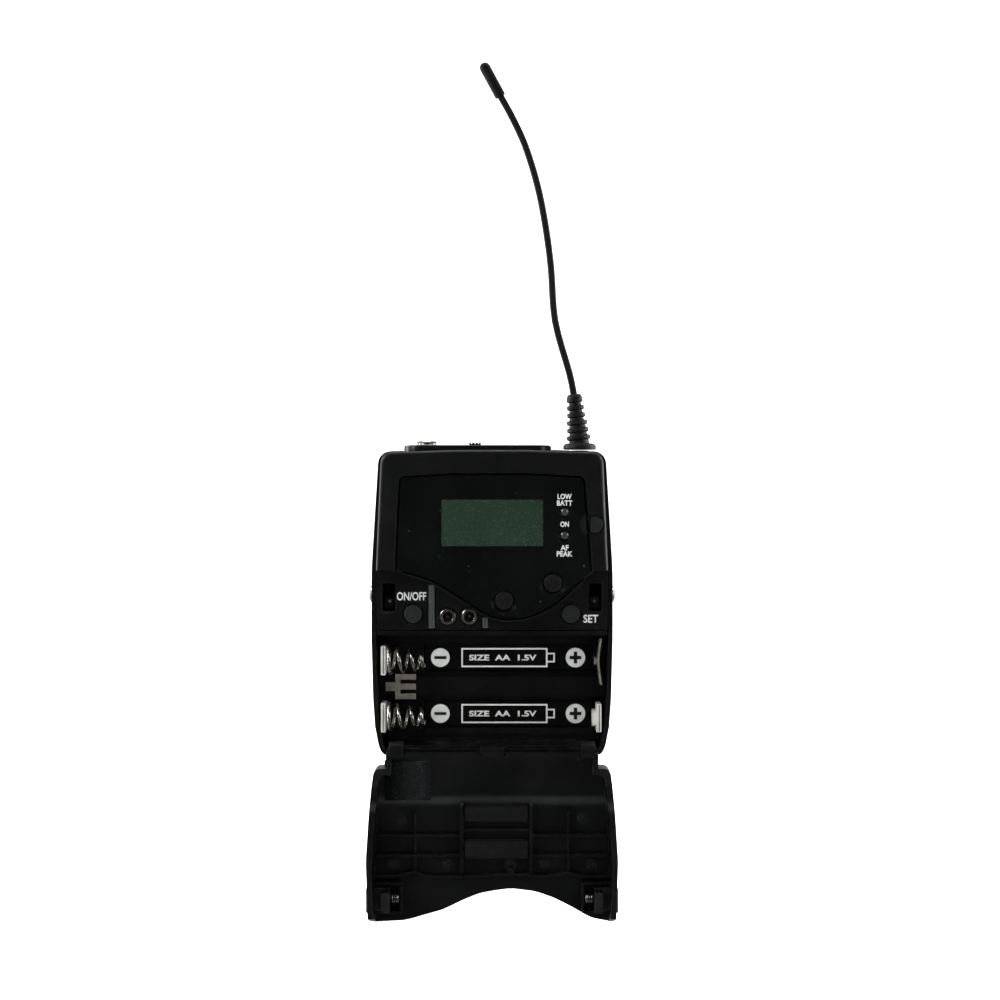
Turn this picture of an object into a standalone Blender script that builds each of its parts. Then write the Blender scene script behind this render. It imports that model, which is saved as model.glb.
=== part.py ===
"""Wireless bodypack transmitter, standing with its antenna up and its battery door hanging open.

Blender units are metres with +Z up. The front faces -Y, and the flat rear plate lies in the plane Y = 0.
"""

import math

import bmesh
import bpy
from mathutils import Matrix, Vector

MM = 0.001  # every size below is in millimetres

# Depth planes, from the back of the case to its front
BACK_Y = -0.7
BACK_WALL = 1.8
SEAM_Y = -12.8
ZONE_Y = -19.6
PANEL_Y = -22.7
FACE_Y = -23.2
WALL = 1.2
GAP = 0.3
COVER_UNDER_Y = -18.2
AXIS_Y = -12.0  # antenna, jack and mute switch stand in this plane

# Right half of the case outline seen from the front: x, z and corner radius, from top to bottom
CASE_HALF = (
    (0, 40.6, 300),
    (30.2, 39.6, 3.4),
    (32.1, 8.0, 60),
    (32.1, -10.0, 60),
    (31.7, -26.0, 60),
    (31.0, -36.0, 20),
    (29.2, -41.6, 3.2),
    (0, -41.6, 0),
)
COVER_HALF = ((0, 40.0, 300), (28.9, 39.1, 3.0), (30.2, 8.4, 40), (30.2, -14.0, 0), (0, -14.0, 0))
COVER_EDGE = 1.0
SEAT = (2.7, -11.2, -6.5)  # ledge behind the front cover: width, back plane and lower end
SHOULDER_Z = 8.4
LIP_Z = -7.2

# Display panel, clockwise from its upper left corner
PANEL_TOP = ((-25.0, 8.2, 0.6), (-23.9, 32.6, 1.4), (-0.3, 34.0, 180), (23.9, 32.6, 1.6), (25.8, 7.5, 0.6))
PANEL_WAVE = (
    (22.0, 4.7),
    (18.4, 1.05),
    (14.5, -1.6),
    (10.4, -3.6),
    (6.0, -4.5),
    (-0.3, -3.9),
    (-3.9, -1.6),
    (-9.2, 1.9),
    (-15.0, 5.5),
    (-20.8, 7.5),
)
PANEL_THICK = 1.4
LCD_BOX = (-13.1, 13.3, 14.7, 26.8)
LED_X = 18.9
LEDS = {"led_battery": 23.6, "led_peak": 17.5}
LED_R = 1.0
INFRARED = (26.75, 20.3, 2.2, 1.2)  # x, z, radius and how far left of x it is cut straight

# Buttons: x, z and top plane
BUTTON_R = 2.42
BUTTONS = {
    "button_on_off": (-20.65, -3.1, ZONE_Y - 0.7),
    "button_set": (20.65, -3.1, ZONE_Y - 0.7),
    "button_down": (3.2, 0.46, PANEL_Y + 0.15),
    "button_up": (15.9, 5.07, PANEL_Y + 0.15),
}
RING_R = 3.35
CHARGE_CONTACTS = {"charge_contact_left": (-11.6, -3.8), "charge_contact_right": (-5.9, -3.75)}
GUIDE_STRIPS = {"guide_strip_left": (-16.6, -15.0, -6.9, 4.6), "guide_strip_right": (-2.5, -1.0, -6.8, -4.0)}
LATCH_WINDOW = (25.3, 28.75, -2.4, 4.9)

# Top of the case
TOP_PLATE = (-23.4, 15.8, -17.5, -6.5)
TOP_PLATE_Z = (38.6, 41.2)
JACK_X = -17.4
SWITCH_X = (-6.1, -3.0)
SWITCH_TRAVEL = 2.0
ANTENNA_X = 23.3
BOOT_LEAN = math.radians(-6.1)
BOOT_Z = 41.0
WHIP_R = 0.92
WHIP_ROUTE = (
    (21.85, 54.9),
    (20.6, 60.5),
    (16.8, 74.4),
    (15.7, 88.5),
    (14.3, 99.3),
    (12.2, 110.1),
    (8.95, 120.8),
    (5.4, 128.6),
    (2.2, 134.4),
)
TIP_LEAN = math.radians(-28.6)
TIP_LENGTH = 10.0

# Battery bay
CELL_Y = -11.4
CELL_Z = {"upper": -16.1, "lower": -31.3}
TROUGH_R = 7.6
RIDGE_Y = -5.7
LABEL_X = (-18.3, 27.3)
LABEL_HALF = 3.4
TRAY_TOP_Z = -7.5
TRAY_HALF = (
    (0, TRAY_TOP_Z, 0),
    (30.5, TRAY_TOP_Z, 0),
    (30.3, -25.0, 0),
    (29.4, -36.0, 4),
    (27.8, -40.1, 2),
    (0, -40.1, 0),
)

# Battery door, drawn shut: half widths against distance from the hinge axis
HINGE_Y = -17.0
HINGE_Z = -39.2
DOOR_Y = -24.5
DOOR_SKIN = 1.1
DOOR_WALL = 1.5
DOOR_RIM_Y = -13.4
DOOR_BEND = 13.0
DOOR_START_Y = -19.5
DOOR_BEND_OVER = 0.12  # how far the bend would pass the flat skin that trims it
DOOR_EDGE = 1.3
DOOR_SIDE = (
    (28.0, -3.0, 0),
    (28.0, 4.8, 0),
    (31.1, 4.8, 1.7),
    (32.2, 16.0, 60),
    (33.0, 28.5, 20),
    (32.4, 47.0, 1.7),
)
DOOR_FREE_EDGE = (
    (26.3, 45.8),
    (21.4, 43.0),
    (16.4, 40.5),
    (11.5, 38.8),
    (5.0, 38.0),
    (0.6, 38.6),
    (-3.3, 39.3),
    (-7.3, 40.9),
    (-13.2, 43.7),
    (-23.1, 46.5),
)
WAVY_RIB = (
    (-31.6, 34.0),
    (-25.5, 33.9),
    (-22.8, 33.3),
    (-20.9, 33.0),
    (-18.9, 33.4),
    (-16.4, 34.1),
    (-4.0, 34.1),
    (1.6, 33.6),
    (8.4, 33.6),
    (13.5, 34.1),
    (16.8, 33.7),
    (19.4, 33.1),
    (21.8, 33.5),
    (24.6, 34.1),
    (31.6, 33.9),
)
WAVY_RIB_THICK = 0.6
KNUCKLE = (23.3, 27.0, 2.3)
ROD_R = 0.9
BLOCK_HALF = 3.1
BLOCK_R = 1.55
NECK_GAP = 1.3  # from the hinge axis to the door's neck between the knuckles

# Catches, on the shut door
CATCH_Z = (-2.1, 3.9)
CATCH_Y = (-22.7, -20.2)
CATCH_OUT = 33.4
CATCH_HOOK_X = (27.1, 28.4)
CATCH_BARB_X = 29.3

# Belt clip
CLIP_Y = -8.0
CLIP_Z = 1.45
CLIP_WIRE_R = 1.0
CLIP_REST_Y = 5.6
CLIP_FOOT_Z = -36.5
REAR_PLATE = (20.0, -30.0, 28.0)
SCREWS = ((-25.5, 33.0), (25.5, 33.0), (-25.2, -3.6), (25.2, -3.6))

SHARP = math.radians(30)  # edges sharper than this stay sharp when shaded
START_ANGLE = 0.11  # keeps the facets of round pieces off the flat pieces' own planes
AXES = {
    "X": Matrix(((0, 0, 1), (1, 0, 0), (0, 1, 0))),
    "Y": Matrix(((1, 0, 0), (0, 0, -1), (0, 1, 0))),
    "Z": Matrix.Identity(3),
}

TURNS = {"X": (0, math.pi / 2, 0), "Y": (-math.pi / 2, 0, 0), "Z": (0, 0, 0)}

PALETTE = {
    "black_plastic": ((0.012, 0.013, 0.013), 0.45, 0.0),
    "door_plastic": ((0.010, 0.011, 0.011), 0.42, 0.0),
    "tray_plastic": ((0.009, 0.009, 0.009), 0.55, 0.0),
    "smoked_panel": ((0.006, 0.007, 0.007), 0.12, 0.0),
    "lcd_glass": ((0.020, 0.045, 0.030), 0.25, 0.0),
    "white_diffuser": ((0.65, 0.66, 0.62), 0.5, 0.0),
    "board_green": ((0.010, 0.090, 0.040), 0.5, 0.0),
    "tinned_steel": ((0.62, 0.62, 0.60), 0.35, 1.0),
    "silicone": ((0.08, 0.08, 0.09), 0.7, 0.0),
    "led_lens": ((0.10, 0.10, 0.10), 0.2, 0.0),
    "infrared_black": ((0.010, 0.009, 0.012), 0.1, 0.0),
    "button_grey": ((0.030, 0.033, 0.033), 0.55, 0.0),
    "nickel": ((0.70, 0.69, 0.66), 0.22, 1.0),
    "guide_grey": ((0.085, 0.105, 0.100), 0.6, 0.0),
    "black_metal": ((0.020, 0.021, 0.021), 0.4, 0.6),
    "antenna_rubber": ((0.010, 0.010, 0.010), 0.6, 0.0),
    "label_film": ((0.006, 0.006, 0.006), 0.35, 0.0),
    "spring_bronze": ((0.34, 0.30, 0.25), 0.35, 1.0),
    "dark_steel": ((0.10, 0.10, 0.10), 0.35, 1.0),
    "foam": ((0.030, 0.032, 0.032), 0.9, 0.0),
    "catch_grey": ((0.030, 0.031, 0.031), 0.5, 0.0),
    "clip_steel": ((0.55, 0.55, 0.56), 0.25, 1.0),
    "screw_black": ((0.03, 0.03, 0.03), 0.4, 0.8),
}


def clear_scene():
    for item in list(bpy.data.objects):
        bpy.data.objects.remove(item, do_unlink=True)


def new_collection(name):
    found = bpy.data.collections.new(name)
    bpy.context.scene.collection.children.link(found)
    return found


def make_materials():
    made = {}
    for name, (colour, roughness, metallic) in PALETTE.items():
        material = bpy.data.materials.new(name)
        material.use_nodes = True
        shader = material.node_tree.nodes["Principled BSDF"]
        shader.inputs["Base Color"].default_value = (*colour, 1)
        shader.inputs["Roughness"].default_value = roughness
        shader.inputs["Metallic"].default_value = metallic
        made[name] = material
    return made


clear_scene()
PARTS = new_collection("bodypack_transmitter")
CUTTERS = new_collection("cutters")
MATERIALS = make_materials()


# Outlines

def corner_turn(before, corner, after):
    into = (corner - before).normalized()
    out = (after - corner).normalized()
    return into, out, into.angle_signed(out, 0.0)


def rounded(corners, steps=5):
    """Closed outline whose corners (a, b, radius) are turned into arcs of that radius."""
    points = []
    for n, (a, b, radius) in enumerate(corners):
        before, after = Vector(corners[n - 1][:2]), Vector(corners[(n + 1) % len(corners)][:2])
        corner = Vector((a, b))
        into, out, turn = corner_turn(before, corner, after)
        reach = abs(radius * math.tan(turn / 2))
        if reach < 0.01:
            points.append(corner)
            continue
        count = max(1, math.ceil(abs(turn) / (math.pi / 2) * steps))
        start = corner - into * reach
        side = Vector((-into.y, into.x)) * math.copysign(radius, -turn)
        centre = start + side
        for k in range(count + 1):
            points.append(centre + Matrix.Rotation(-turn * k / count, 2) @ (start - centre))
    return points


def symmetric(half):
    """Whole outline from a right half that starts and ends on the middle line."""
    return (*half, *((-a, b, radius) for a, b, radius in reversed(half[1:-1])))


def offset(corners, distance):
    """The same corners moved inwards by a distance, with their radii following."""
    flat = [Vector(corner[:2]) for corner in corners]
    area = sum(flat[n - 1].cross(flat[n]) for n in range(len(flat)))
    inward = distance * math.copysign(1, area)
    moved = []
    for n, corner in enumerate(flat):
        into, out, turn = corner_turn(flat[n - 1], corner, flat[(n + 1) % len(flat)])
        normal = (Vector((-into.y, into.x)) + Vector((-out.y, out.x))).normalized()
        place = corner + normal * inward / math.cos(turn / 2)
        radius = corners[n][2]
        change = distance if turn * area < 0 else -distance
        moved.append((*place, max(0.0, radius - change) if radius else 0))
    return moved


def smooth(points, per_span):
    """Catmull-Rom curve through the points, ends included."""
    route = [Vector(point) for point in points]
    route = [2 * route[0] - route[1], *route, 2 * route[-1] - route[-2]]
    found = []
    for a, b, c, d in zip(route, route[1:], route[2:], route[3:]):
        for k in range(per_span):
            t = k / per_span
            bend = 2 * a - 5 * b + 4 * c - d
            twist = 3 * b - a - 3 * c + d
            found.append(0.5 * (2 * b + (c - a) * t + bend * t**2 + twist * t**3))
    return [*found, route[-2]]


def circle(a, b, radius, steps=24):
    turns = (2 * math.pi * k / steps for k in range(steps))
    return [Vector((a + radius * math.cos(t), b + radius * math.sin(t))) for t in turns]


def rectangle(a0, a1, b0, b1, radius=0.0):
    return rounded([(a0, b0, radius), (a0, b1, radius), (a1, b1, radius), (a1, b0, radius)], 4)


# Solids

def add(item, material=None):
    """Puts a new object among the parts with its material, or among the cutters."""
    if material:
        PARTS.objects.link(item)
        item.data.materials.clear()
        item.data.materials.append(MATERIALS[material])
        return item
    CUTTERS.objects.link(item)
    item.hide_render = True
    item.display_type = "WIRE"
    return item


def meshed(curve_object, name, material):
    """Closed mesh object in place of a curve object, with its caps welded."""
    bpy.context.scene.collection.objects.link(curve_object)
    bpy.context.view_layer.update()
    graph = bpy.context.evaluated_depsgraph_get()
    mesh = bpy.data.meshes.new_from_object(curve_object.evaluated_get(graph))
    place = curve_object.matrix_world.copy()
    bpy.data.objects.remove(curve_object)
    shape = bmesh.new()
    shape.from_mesh(mesh)
    bmesh.ops.remove_doubles(shape, verts=shape.verts, dist=0.002 * MM)
    bmesh.ops.dissolve_limit(shape, angle_limit=math.radians(0.05), verts=shape.verts, edges=shape.edges)
    bmesh.ops.recalc_face_normals(shape, faces=shape.faces)
    shape.to_mesh(mesh)
    shape.free()
    mesh.shade_smooth()
    mesh.set_sharp_from_angle(angle=SHARP)
    item = bpy.data.objects.new(name, mesh)
    item.matrix_world = place
    return add(item, material)


def prism(name, outline, axis, low, high, material=None):
    """Flat outline given thickness along an axis: x, z points across Y, y, z across X and x, y across Z."""
    curve = bpy.data.curves.new(name, "CURVE")
    curve.dimensions = "2D"
    curve.fill_mode = "BOTH"
    curve.extrude = abs(high - low) / 2 * MM
    spline = curve.splines.new("POLY")
    spline.points.add(len(outline) - 1)
    for point, place in zip(spline.points, outline):
        point.co = (place[0] * MM, place[1] * MM, 0, 1)
    spline.use_cyclic_u = True
    item = bpy.data.objects.new(name + "_curve", curve)
    item.matrix_world = AXES[axis].to_4x4()
    item.location["XYZ".index(axis)] = (low + high) / 2 * MM
    return meshed(item, name, material)


def box(name, x, y, z, material=None, edge=0.0):
    shape = bmesh.new()
    bmesh.ops.create_cube(shape, size=1)
    sides = Vector((x[1] - x[0], y[1] - y[0], z[1] - z[0])) * MM
    bmesh.ops.scale(shape, vec=sides, verts=shape.verts)
    mesh = bpy.data.meshes.new(name)
    shape.to_mesh(mesh)
    shape.free()
    item = bpy.data.objects.new(name, mesh)
    item.location = Vector((sum(x), sum(y), sum(z))) / 2 * MM
    if edge:
        bevel(item, edge, 1)
    return add(item, material)


def turned(name, profile, axis, place, material=None, steps=24):
    """Solid of revolution: profile of (radius, height) from top to bottom on its outer side."""
    shape = bmesh.new()
    start = Vector((math.cos(START_ANGLE), math.sin(START_ANGLE), 0)) * MM
    rows = [shape.verts.new(start * radius + Vector((0, 0, height * MM))) for radius, height in profile]
    for first, second in zip(rows, rows[1:]):
        shape.edges.new((first, second))
    mesh = bpy.data.meshes.new(name)
    shape.to_mesh(mesh)
    shape.free()
    item = bpy.data.objects.new(name, mesh)
    item.location = Vector(place) * MM
    item.rotation_euler = TURNS[axis]
    screw = item.modifiers.new("Turn", "SCREW")
    screw.axis = "Z"
    screw.steps = steps
    screw.render_steps = steps
    screw.use_merge_vertices = True
    screw.merge_threshold = 0.000001
    screw.use_smooth_shade = True
    return add(item, material)


def disc(radius, low, high):
    """Profile of a plain cylinder."""
    return [(0, high), (radius, high), (radius, low), (0, low)]


def wire_curve(name, route, radius, resolution=2):
    """Curve object for a round wire along a list of points, not yet in any collection."""
    curve = bpy.data.curves.new(name, "CURVE")
    curve.dimensions = "3D"
    curve.bevel_depth = radius * MM
    curve.bevel_resolution = resolution
    curve.use_fill_caps = True
    spline = curve.splines.new("POLY")
    spline.points.add(len(route) - 1)
    for point, place in zip(spline.points, route):
        point.co = (*(Vector(place) * MM), 1)
    return bpy.data.objects.new(name, curve)


def wire(name, route, radius, material, resolution=2):
    return add(wire_curve(name, route, radius, resolution), material)


def bevel(item, width, segments, weighted=False):
    edge = item.modifiers.new("Edge", "BEVEL")
    edge.width = width * MM
    edge.segments = segments
    edge.limit_method = "WEIGHT" if weighted else "ANGLE"
    edge.angle_limit = math.radians(40)
    return edge


def round_rim(item, axis, value, width, segments=3):
    """Rounds only the edges that lie in one plane of the object."""
    index = "XYZ".index(axis)
    place = item.matrix_world
    shape = bmesh.new()
    shape.from_mesh(item.data)
    weight = shape.edges.layers.float.new("bevel_weight_edge")
    for edge in shape.edges:
        if all(abs((place @ vert.co)[index] - value * MM) < 0.01 * MM for vert in edge.verts):
            edge[weight] = 1.0
    shape.to_mesh(item.data)
    shape.free()
    bevel(item, width, segments, weighted=True)


def combine(item, other, operation):
    step = item.modifiers.new(f"{operation.title()} {other.name}", "BOOLEAN")
    step.object = other
    step.operation = operation
    step.solver = "EXACT"


def cut(item, *others):
    for other in others:
        combine(item, other, "DIFFERENCE")


def join(item, *others):
    for other in others:
        combine(item, other, "UNION")


def sides(function):
    """Runs a function for the left side and the right side, and gathers what it returns."""
    return [function(side, name) for side, name in ((-1, "left"), (1, "right"))]


def span(side, a, b):
    """A range of x mirrored to one side, in rising order."""
    return tuple(sorted((side * a, side * b)))


# Case

def top_opening(name):
    x0, x1, y0, y1 = TOP_PLATE
    hole = rectangle(x0 - GAP, x1 + GAP, y0 - GAP, y1 + GAP, 5.0)
    return prism(name, hole, "Z", TOP_PLATE_Z[0] - 2, TOP_PLATE_Z[1] + 2)


def antenna_hole(name):
    return prism(name, circle(ANTENNA_X, AXIS_Y, 2.9), "Z", 34, 43)


def clip_boss(side, name):
    inner_y = BACK_Y - BACK_WALL
    return box(f"clip_boss_{name}", span(side, 28.9, 31.4), (-12.4, inner_y + 0.5), (-3.0, 6.4))


def clip_groove(side, name):
    return box(f"clip_groove_{name}", span(side, 30.7, 34), (-11.2, 2), (-1.4, 5.4))


def clip_pivot_hole(side, name):
    return turned(f"clip_pivot_hole_{name}", disc(1.3, -2, 4), "X", (side * 31 - 1, CLIP_Y, CLIP_Z), steps=16)


def cover_seat(case):
    """Ledge round the upper half of the shell's mouth, which closes the step behind the front cover."""
    width, back, end = SEAT
    seat = prism("cover_seat", rounded(offset(case, WALL / 2)), "Y", SEAM_Y + 0.15, back)
    cut(seat, prism("seat_opening", rounded(offset(case, width)), "Y", SEAM_Y - 1, back + 1))
    cut(seat, box("below_seat", (-40, 40), (SEAM_Y - 2, back + 2), (-60, end)))
    return seat


def rear_shell():
    case = symmetric(CASE_HALF)
    inner_y = BACK_Y - BACK_WALL
    shell = prism("rear_shell", rounded(case), "Y", SEAM_Y, BACK_Y, "black_plastic")
    round_rim(shell, "Y", BACK_Y, 2.8, 4)
    cut(shell, prism("shell_inside", rounded(offset(case, WALL)), "Y", SEAM_Y - 2, inner_y))
    join(shell, cover_seat(case))
    join(shell, *sides(clip_boss))
    for n, (x, z) in enumerate(SCREWS, 1):
        join(shell, turned(f"screw_boss_{n}", disc(2.7, -9.0, inner_y + 0.5), "Y", (x, 0, z), steps=16))
        hole = [(0, 1), (2.4, 1), (2.4, -2.0), (1.3, -2.0), (1.3, -12), (0, -12)]
        cut(shell, turned(f"screw_hole_{n}", hole, "Y", (x, 0, z), steps=16))
    cut(shell, *sides(clip_groove), *sides(clip_pivot_hole))
    half, low, high = REAR_PLATE
    recess = rectangle(-half - GAP, half + GAP, low - GAP, high + GAP, 3.3)
    cut(shell, prism("rear_plate_recess", recess, "Y", BACK_Y - 0.6, 1))
    cut(shell, top_opening("shell_top_opening"), antenna_hole("shell_antenna_hole"))
    cut(shell, box("door_neck_clearance", (-28.4, 28.4), (-14, -10.6), (-43, -38.6)))
    return shell


def rear_plate():
    half, low, high = REAR_PLATE
    prism("rear_plate", rectangle(-half, half, low, high, 3.0), "Y", -1.0, 0.0, "black_plastic")


def case_screws():
    head = [(0, -0.75), (1.4, -0.75), (2.0, -1.1), (2.0, -1.7), (1.0, -1.7), (1.0, -8.5), (0, -8.5)]
    for n, (x, z) in enumerate(SCREWS, 1):
        screw = turned(f"case_screw_{n}", head, "Y", (x, 0, z), "screw_black", 16)
        for across, name in ((True, "a"), (False, "b")):
            long, short = (x - 1.2, x + 1.2), (x - 0.25, x + 0.25)
            up, flat = (z - 1.2, z + 1.2), (z - 0.25, z + 0.25)
            slot_x, slot_z = (long, flat) if across else (short, up)
            cut(screw, box(f"screw_slot_{n}{name}", slot_x, (-1.4, 0), slot_z))


def panel_outline(grow=0.0):
    """Display panel's outline: straight top and sides, and a wave along its lower edge."""
    corners = [*PANEL_TOP, *((x, z, 12) for x, z in PANEL_WAVE)]
    return rounded(offset(corners, -grow))


def zone_recess():
    """Everything below the shoulder and outside the panel is set back as the button zone."""
    wave = offset([*PANEL_TOP, *((x, z, 12) for x, z in PANEL_WAVE)], -0.7)
    lower = [(x, min(z, SHOULDER_Z), radius) for x, z, radius in wave[5:]]
    far = 36
    corners = [(wave[4][0] + 0.1, SHOULDER_Z, 0), *lower, (wave[0][0] - 0.1, SHOULDER_Z, 0)]
    corners += [(-far, SHOULDER_Z, 0), (-far, -20, 0), (far, -20, 0), (far, SHOULDER_Z, 0)]
    return prism("zone_recess", rounded(corners), "Y", FACE_Y - 2, ZONE_Y)


def cover_holes():
    """Cutters for everything that passes through the front cover."""
    holes = []
    for name, (x, z, _) in BUTTONS.items():
        holes.append(prism(f"{name}_hole", circle(x, z, BUTTON_R + GAP), "Y", FACE_Y - 1, SEAM_Y))
    for name, (x, z) in CHARGE_CONTACTS.items():
        holes.append(prism(f"{name}_hole", circle(x, z, 2.35, 16), "Y", FACE_Y - 1, SEAM_Y))
    for name, (x0, x1, z0, z1) in GUIDE_STRIPS.items():
        slot = (x0 - GAP, x1 + GAP), (FACE_Y - 1, ZONE_Y + 0.9), (z0 - GAP, z1 + GAP)
        holes.append(box(f"{name}_slot", *slot))
    for name, z in LEDS.items():
        holes.append(prism(f"{name}_hole", circle(LED_X, z, LED_R + GAP, 16), "Y", FACE_Y - 1, SEAM_Y))
    x0, x1, z0, z1 = LATCH_WINDOW
    for side, name in ((-1, "left"), (1, "right")):
        holes.append(box(f"latch_window_{name}", span(side, x0, x1), (FACE_Y - 1, SEAM_Y), (z0, z1)))
    x0, x1, z0, z1 = LCD_BOX
    holes.append(box("lcd_opening", (x0 - GAP, x1 + GAP), (FACE_Y - 1, SEAM_Y), (z0 - GAP, z1 + GAP)))
    holes.append(prism("infrared_recess", infrared_outline(GAP), "Y", FACE_Y - 1, FACE_Y + 2.0))
    return holes


def infrared_outline(grow=0.0):
    """Round window cut off straight on the side next to the display panel."""
    x, z, radius, left = INFRARED
    reach = radius + grow
    start = math.acos(-(left + grow) / reach)
    turns = [start - 2 * start * k / 18 for k in range(19)]
    return [Vector((x + reach * math.cos(t), z + reach * math.sin(t))) for t in turns]


def hook_pocket(side, name):
    """Room inside the cover's side wall for the barb of a shut catch."""
    x = span(side, LATCH_WINDOW[1] - 0.3, CATCH_BARB_X + 0.3)
    return box(f"hook_pocket_{name}", x, (COVER_UNDER_Y + 0.1, SEAM_Y + 1), CATCH_Z)


def front_cover():
    outline = rounded(symmetric(COVER_HALF))
    cover = prism("front_cover", outline, "Y", FACE_Y, SEAM_Y - GAP, "black_plastic")
    round_rim(cover, "Y", FACE_Y, COVER_EDGE)
    inside = rounded(offset(symmetric(COVER_HALF), 1.4))
    cut(cover, prism("cover_inside", inside, "Y", COVER_UNDER_Y, SEAM_Y + 2))
    cut(cover, zone_recess())
    cut(cover, prism("panel_recess", panel_outline(GAP), "Y", FACE_Y - 1, PANEL_Y + PANEL_THICK + GAP))
    cut(cover, box("cover_below", (-40, 40), (-30, 0), (-20, LIP_Z)))
    cut(cover, *cover_holes(), *sides(hook_pocket))
    cut(cover, top_opening("cover_top_opening"), antenna_hole("cover_antenna_hole"))
    return cover


# Front: panel, display, lights and buttons

def display_window():
    window = prism("display_window", panel_outline(), "Y", PANEL_Y, PANEL_Y + PANEL_THICK, "smoked_panel")
    round_rim(window, "Y", PANEL_Y, 0.25, 1)
    for name in ("button_down", "button_up"):
        x, z, _ = BUTTONS[name]
        cut(window, prism(f"{name}_ring", circle(x, z, RING_R), "Y", PANEL_Y - 1, PANEL_Y + 0.4))
        cut(window, prism(f"{name}_panel_hole", circle(x, z, BUTTON_R + GAP), "Y", PANEL_Y - 1, PANEL_Y + 3))
    for name, z in LEDS.items():
        hole = circle(LED_X, z, LED_R + GAP, 16)
        cut(window, prism(f"{name}_panel_hole", hole, "Y", PANEL_Y - 1, PANEL_Y + 3))


def display_stack():
    x0, x1, z0, z1 = LCD_BOX
    box("lcd_module", (x0, x1), (-20.9, -17.5), (z0, z1), "lcd_glass", 0.15)
    box("lcd_backlight", (x0 - 1, x1 + 1), (-17.2, -15.8), (z0 - 1, z1 + 1), "white_diffuser", 0.2)
    for name, z in LEDS.items():
        lens = [(0, 0.1), (0.6, 0.1), (LED_R, -0.15), (LED_R, -6.6), (0, -6.6)]
        turned(name, [(r, -h) for r, h in reversed(lens)], "Y", (LED_X, PANEL_Y, z), "led_lens", 16)
    prism("infrared_window", infrared_outline(), "Y", FACE_Y + 0.1, FACE_Y + 1.6, "infrared_black")


def buttons():
    for name, (x, z, top) in BUTTONS.items():
        flange = COVER_UNDER_Y + GAP
        foot = flange + 0.5
        profile = [(0, foot), (3.2, foot), (3.2, flange), (BUTTON_R, flange), (BUTTON_R, top + 0.25)]
        profile += [(BUTTON_R - 0.25, top), (0, top)]
        turned(name, [(r, h - top) for r, h in profile], "Y", (x, top, z), "button_grey")


def charge_contacts():
    for name, (x, z) in CHARGE_CONTACTS.items():
        top, foot = ZONE_Y - 0.4, -16.8
        profile = [(0, foot), (2.05, foot), (2.05, top + 0.1), (1.9, top), (1.5, top), (1.35, top + 0.15)]
        profile += [(1.35, top + 1.6), (0.45, top + 1.6), (0.45, top + 0.5)]
        profile += [(0.3, top + 0.35), (0, top + 0.35)]
        turned(name, profile, "Y", (x, 0, z), "nickel", 20)


def guide_strips():
    for name, (x0, x1, z0, z1) in GUIDE_STRIPS.items():
        box(name, (x0, x1), (ZONE_Y - 0.3, ZONE_Y + 0.6), (z0, z1), "guide_grey", 0.15)


def electronics():
    box("main_board", (-24.5, 24.5), (-15.4, -14.0), (-5.6, 32.8), "board_green")
    box("rf_shield", (-17.0, 14.0), (-13.7, -9.5), (4.0, 22.0), "tinned_steel", 0.4)
    mat = prism("keypad_mat", rectangle(-24.4, 24.4, -5.4, 9.6, 1.5), "Y", -16.6, -15.8, "silicone")
    for name, (x, z) in CHARGE_CONTACTS.items():
        cut(mat, prism(f"{name}_mat_hole", circle(x, z, 2.4, 12), "Y", -18, -15))


# Top of the case

def top_plate():
    x0, x1, y0, y1 = TOP_PLATE
    plate = prism("top_plate", rectangle(x0, x1, y0, y1, 4.7), "Z", *TOP_PLATE_Z, "black_metal")
    round_rim(plate, "Z", TOP_PLATE_Z[1], 0.5, 2)
    cut(plate, prism("jack_hole", circle(JACK_X, AXIS_Y, 3.05), "Z", 36, 43))
    low, high = SWITCH_X[0] - 0.4, SWITCH_X[1] + SWITCH_TRAVEL + 0.4
    cut(plate, box("switch_slot", (low, high), (AXIS_Y - 1.6, AXIS_Y + 1.6), (36, 43)))


def jack():
    rim, bottom = 42.4, 36.6
    profile = [(0, 37.6), (1.75, 37.6), (1.75, rim - 0.3), (2.0, rim), (2.45, rim)]
    for k in range(5):
        height = rim - 0.2 - 0.8 * k
        profile += [(2.75, height - 0.15), (2.45, height - 0.55)]
    profile += [(2.75, rim - 4.6), (2.75, bottom), (0, bottom)]
    turned("jack_bushing", profile, "Z", (JACK_X, AXIS_Y, 0), "nickel")
    box("jack_body", (JACK_X - 4.2, JACK_X + 4.2), (-13.6, -5.4), (23.0, 36.3), "black_plastic", 0.4)


def mute_switch():
    x0, x1 = SWITCH_X
    knob = box("mute_switch", (x0, x1), (AXIS_Y - 1.2, AXIS_Y + 1.2), (36.9, 42.0), "black_plastic")
    join(knob, box("mute_switch_foot", (x0 - 1.4, x1 + 1.4), (AXIS_Y - 2.4, AXIS_Y + 2.4), (36.8, 37.6)))
    for k in range(3):
        groove = x0 + 0.65 + 0.9 * k
        cut(knob, box(f"switch_groove_{k}", (groove - 0.15, groove + 0.15), (-14, -10), (41.65, 43)))
    box("mute_switch_body", (x0 - 2.6, x1 + 4.6), (-13.5, -8.5), (31.0, 36.4), "black_plastic", 0.3)


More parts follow.
